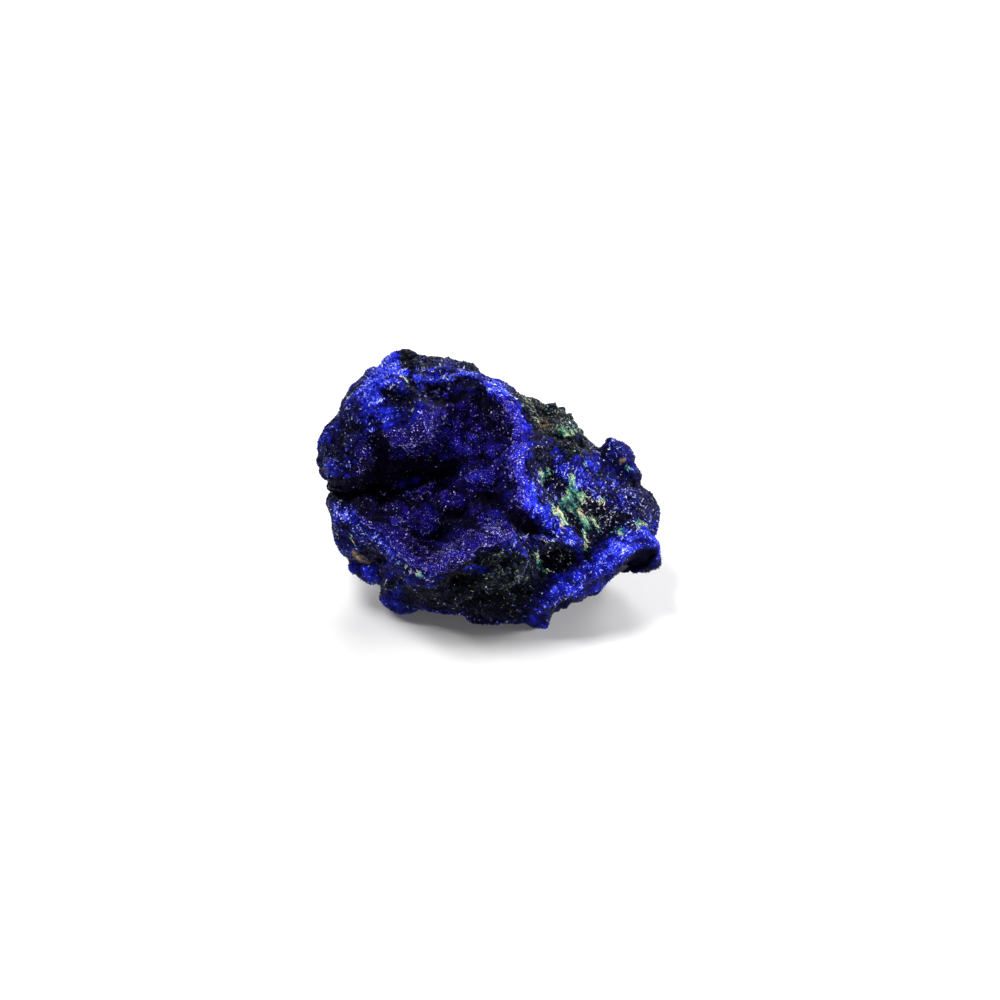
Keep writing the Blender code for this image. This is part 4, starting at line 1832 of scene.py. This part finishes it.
@dataclass(frozen=True)
class Toning:
    """How light crystals are, and how many of them are pale.

    Attributes:
        base: The tone of the darkest on even ground.
        bright: How much lighter they are in bright zones.
        relief: How much of the skin's lift, its painted light and shade with its mottle, they take.
        patches: How much patches of them differ in bright zones.
        spread: How much they differ by chance.
        bright_spread: How much more they do in bright zones.
        lightest: The lightest tone of those that aren't pale.
        pale: The least tone of those that are.
        rare_white: How rare the whitest are among the pale.
        glint_white: How much less rare they are among glints.
        rate: How often one on a crest is pale.
        rates: How much more often in each zone.
        dulled: How much of that is lost in bright zones.
        sure: How often one is pale where the glints are strongest.
        clusters: The mottle from which pale ones gather, and at which they are thickest.
    """

    base: float = 0.20
    bright: float = 0.0
    relief: float = 1.0
    patches: float = 0.0
    spread: float = 0.55
    bright_spread: float = 0.0
    lightest: float = 0.9
    pale: float = 0.93
    rare_white: float = 1.0
    glint_white: float = 0.0
    rate: float = 0.06
    rates: tuple[tuple[Zone, float], ...] = ((Zone.PALE, 0.55), (Zone.DUSTY, 0.40), (Zone.GLINT, 1.0))
    dulled: float = 0.0
    sure: float = 0.0
    clusters: tuple[float, float] = (0.1, 0.7)

    def usual(self, shares: Shares, lift: Array, chance: np.random.Generator) -> Array:
        """The tones of crystals that aren't pale.

        Args:
            shares: The zones' shares where they stand.
            lift: The painted light and shade of the relief there, with its random mottle.
            chance: The source of chance.

        Returns:
            One tone a crystal.
        """
        bright = shares[Zone.BRIGHT]
        tone = self.base + self.bright * bright + self.relief * lift
        tone = tone + self.patches * bright * (shares[Zone.MOTTLE] - 0.55)
        return tone + (self.spread + self.bright_spread * bright) * chance.random(len(bright))

    def paleness(self, shares: Shares) -> Array:
        """How likely a crystal is pale, which partly paints sheen and glints and partly gives real pale
        specks: in clusters on crests and swells, rarely in painted shade, surely among glints.

        Args:
            shares: The zones' shares where the crystals stand.

        Returns:
            One likelihood a crystal.
        """
        rate = self.rate
        for zone, more in self.rates:
            rate = rate + more * shares[zone]
        rate = shares[Zone.CREST] * rate * (1.0 - self.dulled * shares[Zone.BRIGHT])
        clusters = ramp(shares[Zone.MOTTLE], *self.clusters) * (0.5 + 2.4 * shares[Zone.SWELL])
        likely = rate * clusters * (1.0 - 0.9 * shares[Zone.SHADE])
        return np.maximum(likely, self.sure * ramp(shares[Zone.GLINT], 0.7, 1.0))


@dataclass
class Growth:
    """Crystals or grains scattered over skins, joined into one piece.

    Attributes:
        name: The piece's name.
        slot: The record's material slot that it belongs to. It is not used.
        finish: What the crystals are made of.
        habit: Their shape.
        count: How many there are.
        size: Their smallest and largest half length, in millimetres.
        slimness: Their width beside their length, smallest and largest.
        upright: How far they stand up: 0 lying along the skin, 1 pointing straight out of it.
        patchy: How much patches of them differ in tone.
        rarity: How few large ones there are among the small.
        needles: How much longer and thinner the pale ones are.
        seed: Sets this piece's chance apart.
        toning: How light they are.
    """

    name: str
    slot: str
    finish: CrystalFinish
    habit: Habit
    count: int
    size: tuple[float, float]
    slimness: tuple[float, float] = (0.25, 0.6)
    upright: float = 0.32
    patchy: float = 0.42
    rarity: float = 2.0
    needles: float = 1.3
    seed: int = 1
    toning: Toning = Toning()

    def density(self, skin: Skin) -> Array:
        """How thickly the crystals stand at each point of a skin."""
        raise NotImplementedError

    def tones(self, places: Array, shares: Shares, chance: np.random.Generator) -> Array:
        """Each crystal's tone, from 0 to 1.

        Args:
            places: Where the crystals stand.
            shares: The zones' shares there.
            chance: The source of chance.

        Returns:
            One tone a crystal.
        """
        toning, number = self.toning, len(places)
        tone = toning.usual(shares, self.lift(shares), chance)
        pale = chance.random(number) < toning.paleness(shares)
        whiteness = chance.random(number) ** (toning.rare_white - toning.glint_white * shares[Zone.GLINT])
        white = toning.pale + (1.0 - toning.pale) * whiteness
        return np.where(pale, white, np.minimum(tone, toning.lightest))

    def lift(self, shares: Shares) -> Array:
        """Painted light and shade of crystals: lighter on crests and swells, darker in creases and in the
        shade zone, with random mottle.
        """
        relief_light_and_shade = 0.40 * (shares[Zone.CREST] - 0.5) + 0.25 * (shares[Zone.SWELL] - 0.5)
        return relief_light_and_shade + self.patchy * (shares[Zone.MOTTLE] - 0.5) - 0.45 * shares[Zone.SHADE]

    def sizes(self, shares: Shares, chance: np.random.Generator) -> Array:
        """Each crystal's half length, in millimetres, with few large ones among many small ones.

        Args:
            shares: The zones' shares where they stand.
            chance: The source of chance.

        Returns:
            One half length a crystal.
        """
        small, large = self.size
        length = small + (large - small) * chance.random(len(shares[Zone.BLUE])) ** self.rarity
        return length * (0.8 + 0.45 * shares[Zone.COARSE])

    def build(self, skin: Skin) -> None:
        """Scatters the crystals over a skin and joins them.

        Args:
            skin: The skin that they grow on.
        """
        chance = np.random.default_rng(self.seed)
        places, normals, shares = self.picked(skin, chance)
        self.join(places, normals, shares, chance)

    def weights(self, skin: Skin, triangles: Array) -> Array:
        """Each triangle's area times how thickly crystals stand on it.

        Args:
            skin: The skin.
            triangles: The corners of each of its triangles.

        Returns:
            One weight a triangle.
        """
        corners = skin.points[triangles]
        area = np.linalg.norm(np.cross(corners[:, 1] - corners[:, 0], corners[:, 2] - corners[:, 0]), axis=1)
        return area * (self.density(skin) * skin.open)[triangles].mean(axis=1)

    def picked(self, skin: Skin, chance: np.random.Generator) -> tuple[Array, Array, Shares]:
        """Even but random places on a skin.

        Args:
            skin: The skin.
            chance: The source of chance.

        Returns:
            The places, the skin's normals there and the zones' shares there.
        """
        triangles = triangles_of(skin.obj.data)
        run = np.cumsum(self.weights(skin, triangles))
        marks = (np.arange(self.count) + chance.random(self.count)) / self.count * run[-1]
        chosen = triangles[np.searchsorted(run, marks)]
        first, second = chance.random((2, self.count))
        folded = first + second > 1.0
        first, second = np.where(folded, 1.0 - first, first), np.where(folded, 1.0 - second, second)
        parts = np.stack([1.0 - first - second, first, second], axis=1)[:, :, None]
        places = (skin.points[chosen] * parts).sum(axis=1)
        normals = (skin.normals[chosen] * parts).sum(axis=1)
        normals /= np.linalg.norm(normals, axis=1, keepdims=True)
        shares = {zone: (share[chosen] * parts[:, :, 0]).sum(axis=1) for zone, share in skin.shares.items()}
        return places, normals, shares

    def axes(self, places: Array, normals: Array, chance: np.random.Generator) -> Array:
        """Each crystal's own three axes, as columns: neighbours lie much the same way, in swirls.

        Args:
            places: Where the crystals stand.
            normals: Which way the skin faces there.
            chance: The source of chance.

        Returns:
            One three by three matrix a crystal.
        """
        flow = np.stack([Noise(50 + axis).smooth(places, 1.7) for axis in range(3)], axis=1)
        flow /= np.linalg.norm(flow, axis=1, keepdims=True)
        lean = flow + 0.45 * chance.normal(size=normals.shape)
        up = normals * self.upright + lean * (1.0 - self.upright)
        return self.upended(up, chance.normal(size=normals.shape))

    @staticmethod
    def upended(up: Array, aside: Array) -> Array:
        """Axes whose third points up and whose first is square to that and to another direction.

        Args:
            up: Where each crystal's growing end points, of any length.
            aside: The other direction.

        Returns:
            One three by three matrix a crystal, with the axes as columns.
        """
        up = up / np.linalg.norm(up, axis=1, keepdims=True)
        side = np.cross(up, aside)
        side /= np.linalg.norm(side, axis=1, keepdims=True)
        return np.stack([side, np.cross(up, side), up], axis=2)

    def join(self, places: Array, normals: Array, shares: Shares, chance: np.random.Generator) -> None:
        """Makes the crystals one mesh.

        Args:
            places: Where they stand.
            normals: Which way the skin faces there.
            shares: The zones' shares there.
            chance: The source of chance.
        """
        corners, triangles = self.habit.corners, self.habit.triangles
        number, each = len(places), len(corners)
        tone = np.clip(self.tones(places, shares, chance), 0.0, 1.0)
        needle = np.where(tone > PALE_TONE, self.needles, 1.0)
        length = self.sizes(shares, chance) * needle
        low, high = self.slimness
        width = length * (low + (high - low) * chance.random(number)) / needle**2
        depth = length * (low + (high - low) * chance.random(number)) / needle
        scaled = corners[None] * np.stack([width, depth, length], axis=1)[:, None]
        rotated = np.einsum("nij,nkj->nki", self.axes(places, normals, chance), scaled)
        world = FACE.on_ground((places[:, None] + rotated).reshape(-1, 3))
        faces = (triangles[None] + each * np.arange(number)[:, None, None]).reshape(-1, 3)
        mesh = mesh_of(self.name, world, faces)
        carry(mesh, TONE, np.repeat(tone, each))
        mesh.materials.append(self.finish.material())
        obj = placed(self.name, mesh)
        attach(obj, BODY)
        log.info("%s: %d crystals, %d triangles", self.name, number, len(faces))


@dataclass
class OuterAzurite(Growth):
    """Azurite crystals on the outside: brighter in bright zones, with pale glints here and there.

    Attributes:
        coarse: How far they keep to the coarse zones.
    """

    toning: Toning = Toning(
        base=-0.02, bright=0.26, spread=0.42, bright_spread=0.26, lightest=0.93, pale=0.94,
        rare_white=1.5, glint_white=1.3, rate=0.03, sure=0.7,
        rates=((Zone.BRIGHT, 0.06), (Zone.DUSTY, 0.30), (Zone.GLINT, 1.0)),
    )
    coarse: float = 0.0

    def density(self, skin: Skin) -> Array:
        """Thick on azurite, thin on matrix, malachite and limonite, and none where the stone broke clean.

        Args:
            skin: The skin.

        Returns:
            One density a point of the skin.
        """
        shares = skin.shares
        other = np.max([shares[zone] for zone in (Zone.MALACHITE, Zone.PALE, Zone.LIMONITE)], axis=0)
        fine = 0.05 + shares[Zone.BLUE] ** 1.5 + 0.5 * shares[Zone.BRIGHT]
        thick = fine * (1.0 - self.coarse) + self.coarse * (0.06 + shares[Zone.COARSE])
        return thick * (1.0 - 0.85 * other) * (1.0 - shares[Zone.BARE])


@dataclass
class HollowAzurite(Growth):
    """The fine nap of crystals that lines the hollow: dark, with pale tips where the painted sheen lies."""

    toning: Toning = Toning(
        base=0.10, bright=0.14, relief=0.65, patches=1.2, spread=0.20, bright_spread=0.55, lightest=0.92,
        rate=0.26, rates=((Zone.DUSTY, 0.50), (Zone.GLINT, 1.0)), dulled=0.5, clusters=(-0.2, 0.7),
    )

    def density(self, skin: Skin) -> Array:
        """The same everywhere."""
        return np.ones(len(skin.points))


@dataclass
class MatrixGrains(Growth):
    """Dark grains of matrix between the azurite, with some pale crumbs.

    Attributes:
        olive: Whether they are the green grains rather than the black ones.
    """

    olive: bool = False

    def density(self, skin: Skin) -> Array:
        """Thick where there is little azurite.

        Args:
            skin: The skin.

        Returns:
            One density a point of the skin.
        """
        shares = skin.shares
        kind = shares[Zone.OLIVE] if self.olive else 1.0 - shares[Zone.OLIVE]
        return (0.03 + (1.0 - shares[Zone.BLUE]) ** 1.5) * (0.02 + kind) * (1.0 - shares[Zone.BARE])


@dataclass
class MalachiteTufts(Growth):
    """Needles and crumbs of malachite, from teal to pale yellow-green."""

    @staticmethod
    def streaks(places: Array) -> Array:
        """Noise drawn out along the fibres' run."""
        drawn = np.stack([0.35 * places @ RUN, places[:, 1], 1.3 * places @ ACROSS], axis=1)
        return Layer(61, 0.5, 2).at(drawn)

    def density(self, skin: Skin) -> Array:
        """Only in streaks, where there is malachite or pale crumbs."""
        share = np.maximum(skin.shares[Zone.MALACHITE], skin.shares[Zone.PALE])
        return ramp(share + 1.3 * self.streaks(skin.points), 0.45, 0.9) * ramp(share, 0.1, 0.3)

    def tones(self, places: Array, shares: Shares, chance: np.random.Generator) -> Array:
        """Teal in malachite, yellow-green in pale crumbs, with dark gaps.

        Args:
            places: Where the crystals stand.
            shares: The zones' shares there.
            chance: The source of chance.

        Returns:
            One tone a crystal.
        """
        other_streaks = 9.0
        streaks = 1.2 * self.streaks(places + other_streaks)
        return 0.18 + streaks + 0.50 * chance.random(len(places)) + 0.20 * shares[Zone.PALE]

    def axes(self, places: Array, normals: Array, chance: np.random.Generator) -> Array:
        """Needles that lie along the fibres' run, tipped a little out of the stone."""
        run = RUN * np.where(chance.random((len(normals), 1)) < 0.5, 1.0, -1.0)
        return self.upended(run + 0.4 * normals + 0.22 * chance.normal(size=normals.shape), normals)


# ---------------------------------------------------------------- studio

@dataclass
class Studio:
    """The floor, the lights and the camera.

    Attributes:
        lens: Focal length, in millimetres.
        sensor: Width of the film, in millimetres.
        distance: From the camera to the stone, in millimetres.
        aim: Where the camera looks, to the right of the face's middle and up the face, in millimetres.
        fill: Strength of the even light from all round.
        lights: Each light's name, its place in metres, its side in metres and its power in watts.
        target: What the lights face, in metres.
    """

    lens: float = 100.0
    sensor: float = 36.0
    distance: float = 293.3
    aim: tuple[float, float] = (0.95, -1.27)
    fill: float = 0.10
    lights: tuple[tuple[str, tuple[float, float, float], float, float], ...] = (
        ("low right", (0.636, 0.0, 0.135), 0.18, 8.0),
        ("behind", (0.0, 0.563, 0.325), 0.28, 3.9),
        ("behind right", (0.398, 0.398, 0.325), 0.28, 3.0),
        ("above left", (-0.20, 0.0, 0.618), 0.18, 3.6),
        ("left", (-0.418, 0.0, 0.498), 0.12, 1.5),
        ("low front", (0.0, -0.636, 0.135), 0.12, 2.2),
    )
    target: tuple[float, float, float] = (0.0, 0.0, 0.012)

    def build(self) -> None:
        """Builds the studio."""
        self.floor()
        self.world()
        for light in self.lights:
            self.light(*light)
        self.camera()
        bpy.context.scene.view_settings.view_transform = "Standard"

    @staticmethod
    def floor(half: float = 1.5) -> None:
        """A plain pale floor that reaches that many metres to each side.

        Args:
            half: Half its side, in metres.
        """
        corners = np.array([(-half, -half, 0.0), (half, -half, 0.0), (half, half, 0.0), (-half, half, 0.0)])
        mesh = mesh_of("floor", corners, np.array([(0, 1, 2), (0, 2, 3)]))
        tree = Tree("floor paper")
        shades = ((0.0, (0.60, 0.60, 0.605)), (1.0, (0.62, 0.62, 0.62)))
        paper = tree.colours(tree.noise(40.0, 2.0, 0.55), shades)
        mesh.materials.append(tree.finish({"Base Color": paper, "Roughness": 0.9}))
        placed("floor", mesh)

    def world(self) -> None:
        """Even white light from all round."""
        world = bpy.data.worlds.new("studio")
        world.use_nodes = True
        background = world.node_tree.nodes["Background"]
        background.inputs["Color"].default_value = (1.0, 1.0, 1.0, 1.0)
        background.inputs["Strength"].default_value = self.fill
        bpy.context.scene.world = world

    def light(self, name: str, place: tuple[float, float, float], side: float, power: float) -> None:
        """Adds a square area light that faces the stone.

        Args:
            name: The light's name.
            place: Where it hangs, in metres.
            side: Its side, in metres.
            power: Its power, in watts.
        """
        data = bpy.data.lights.new(name, "AREA")
        data.size = side
        data.energy = power
        obj = bpy.data.objects.new(name, data)
        obj.location = place
        obj.rotation_mode = "QUATERNION"
        obj.rotation_quaternion = (Vector(place) - Vector(self.target)).to_track_quat("Z", "Y")
        bpy.context.scene.collection.objects.link(obj)

    def camera(self) -> None:
        """Looks straight into the leaned face."""
        data = bpy.data.cameras.new("camera")
        data.lens = self.lens
        data.sensor_width = self.sensor
        data.clip_start = 0.01
        data.clip_end = 10.0
        obj = bpy.data.objects.new("camera", data)
        place = FACE.to_model((self.aim[0], -self.distance, self.aim[1]))
        right, up, near = (FACE.direction_to_model(axis) for axis in ((1, 0, 0), (0, 0, 1), (0, -1, 0)))
        facing = Matrix((right, up, near)).transposed().to_4x4()
        obj.matrix_world = Matrix.Translation(place) @ facing
        bpy.context.scene.collection.objects.link(obj)
        bpy.context.scene.camera = obj


# ---------------------------------------------------------------- the specimen

@dataclass
class Specimen:
    """The whole stone: two skins and what grows on them.

    Attributes:
        rock: The skin of the lump, which lies over the outside of the crust as well.
        crust: The skin of the crust in the hollow.
    """

    rock: Skin = field(
        default_factory=lambda: Skin(
            "azurite_rock", "stone_skin", "massive_azurite", StoneFinish("broken azurite and matrix"),
            solids=("azurite_rock", "hollow_crust"),
            steps=(remesh(0.3), swell(0.45), remesh(0.22), swell(-0.45)),
            last_steps=(remesh(0.14), rounding(4)),
            most=196000,
            beads=BEADS,
        )
    )
    crust: Skin = field(
        default_factory=lambda: Skin(
            "hollow_crust", "druse_skin", "azurite_druse",
            StoneFinish("druse of the hollow", DRUSE_STOPS, patchy=0.2, spread=0.45),
            solids=("hollow_crust",),
            steps=(remesh(0.16),),
            last_steps=(rounding(3), swell(0.08)),
            most=100000,
        )
    )

    def build(self) -> None:
        """Builds the skins and grows the crystals."""
        self.crust.start()
        self.rock.start()
        self.rock.meet(self.crust)
        self.rock.build()
        self.crust.build()
        self.rock.cover(self.crust)
        for skin, growth in self.growths():
            growth.build(skin)

    def growths(self) -> tuple[tuple[Skin, Growth], ...]:
        """What grows on which skin.

        Returns:
            Pairs of a skin and a piece, in the order in which they are made.
        """
        azure = CrystalFinish("azurite crystals", AZURITE_STOPS)
        nap = CrystalFinish("druse crystals", DRUSE_STOPS)
        black = CrystalFinish("dark matrix grains", BLACK_STOPS, 0.25, 0.18, (0.5, 0.55, 1.0))
        olive = CrystalFinish("green matrix grains", OLIVE_STOPS, 0.3, 0.18, (0.9, 1.0, 0.9))
        tufts = CrystalFinish("malachite", MALACHITE_STOPS, 0.45, 0.3, (1.0, 1.0, 1.0))
        rock, crust = self.rock, self.crust
        shard, block = Habit.SHARD, Habit.BIPYRAMID
        return (
            (rock, OuterAzurite(
                "azurite_blocks", rock.slot, azure, block, 11000, (0.10, 0.26), seed=1, coarse=1.0,
            )),
            (rock, OuterAzurite(
                "azurite_grains", rock.slot, azure, shard, 46000, (0.10, 0.32), (0.22, 0.6), seed=2,
            )),
            (crust, HollowAzurite(
                "druse_points", crust.slot, nap, shard, 42000, (0.06, 0.24), (0.3, 0.65),
                upright=0.45, patchy=0.28, rarity=5.0, needles=1.0, seed=3,
            )),
            (rock, MatrixGrains(
                "dark_grains", rock.slot, black, shard, 25000, (0.10, 0.34), (0.2, 0.5), seed=4,
            )),
            (rock, MatrixGrains(
                "green_grains", rock.slot, olive, shard, 20000, (0.11, 0.32), (0.22, 0.5), seed=5, olive=True,
            )),
            (rock, MalachiteTufts(
                "malachite_tufts", rock.slot, tufts, shard, 8000, (0.14, 0.42), (0.12, 0.30), seed=6,
            )),
        )


def main() -> None:
    """Builds the specimen and its studio."""
    logging.basicConfig(level=logging.INFO, format="%(name)s: %(message)s")
    Specimen().build()
    Studio().build()


if __name__ == "__main__":
    main()
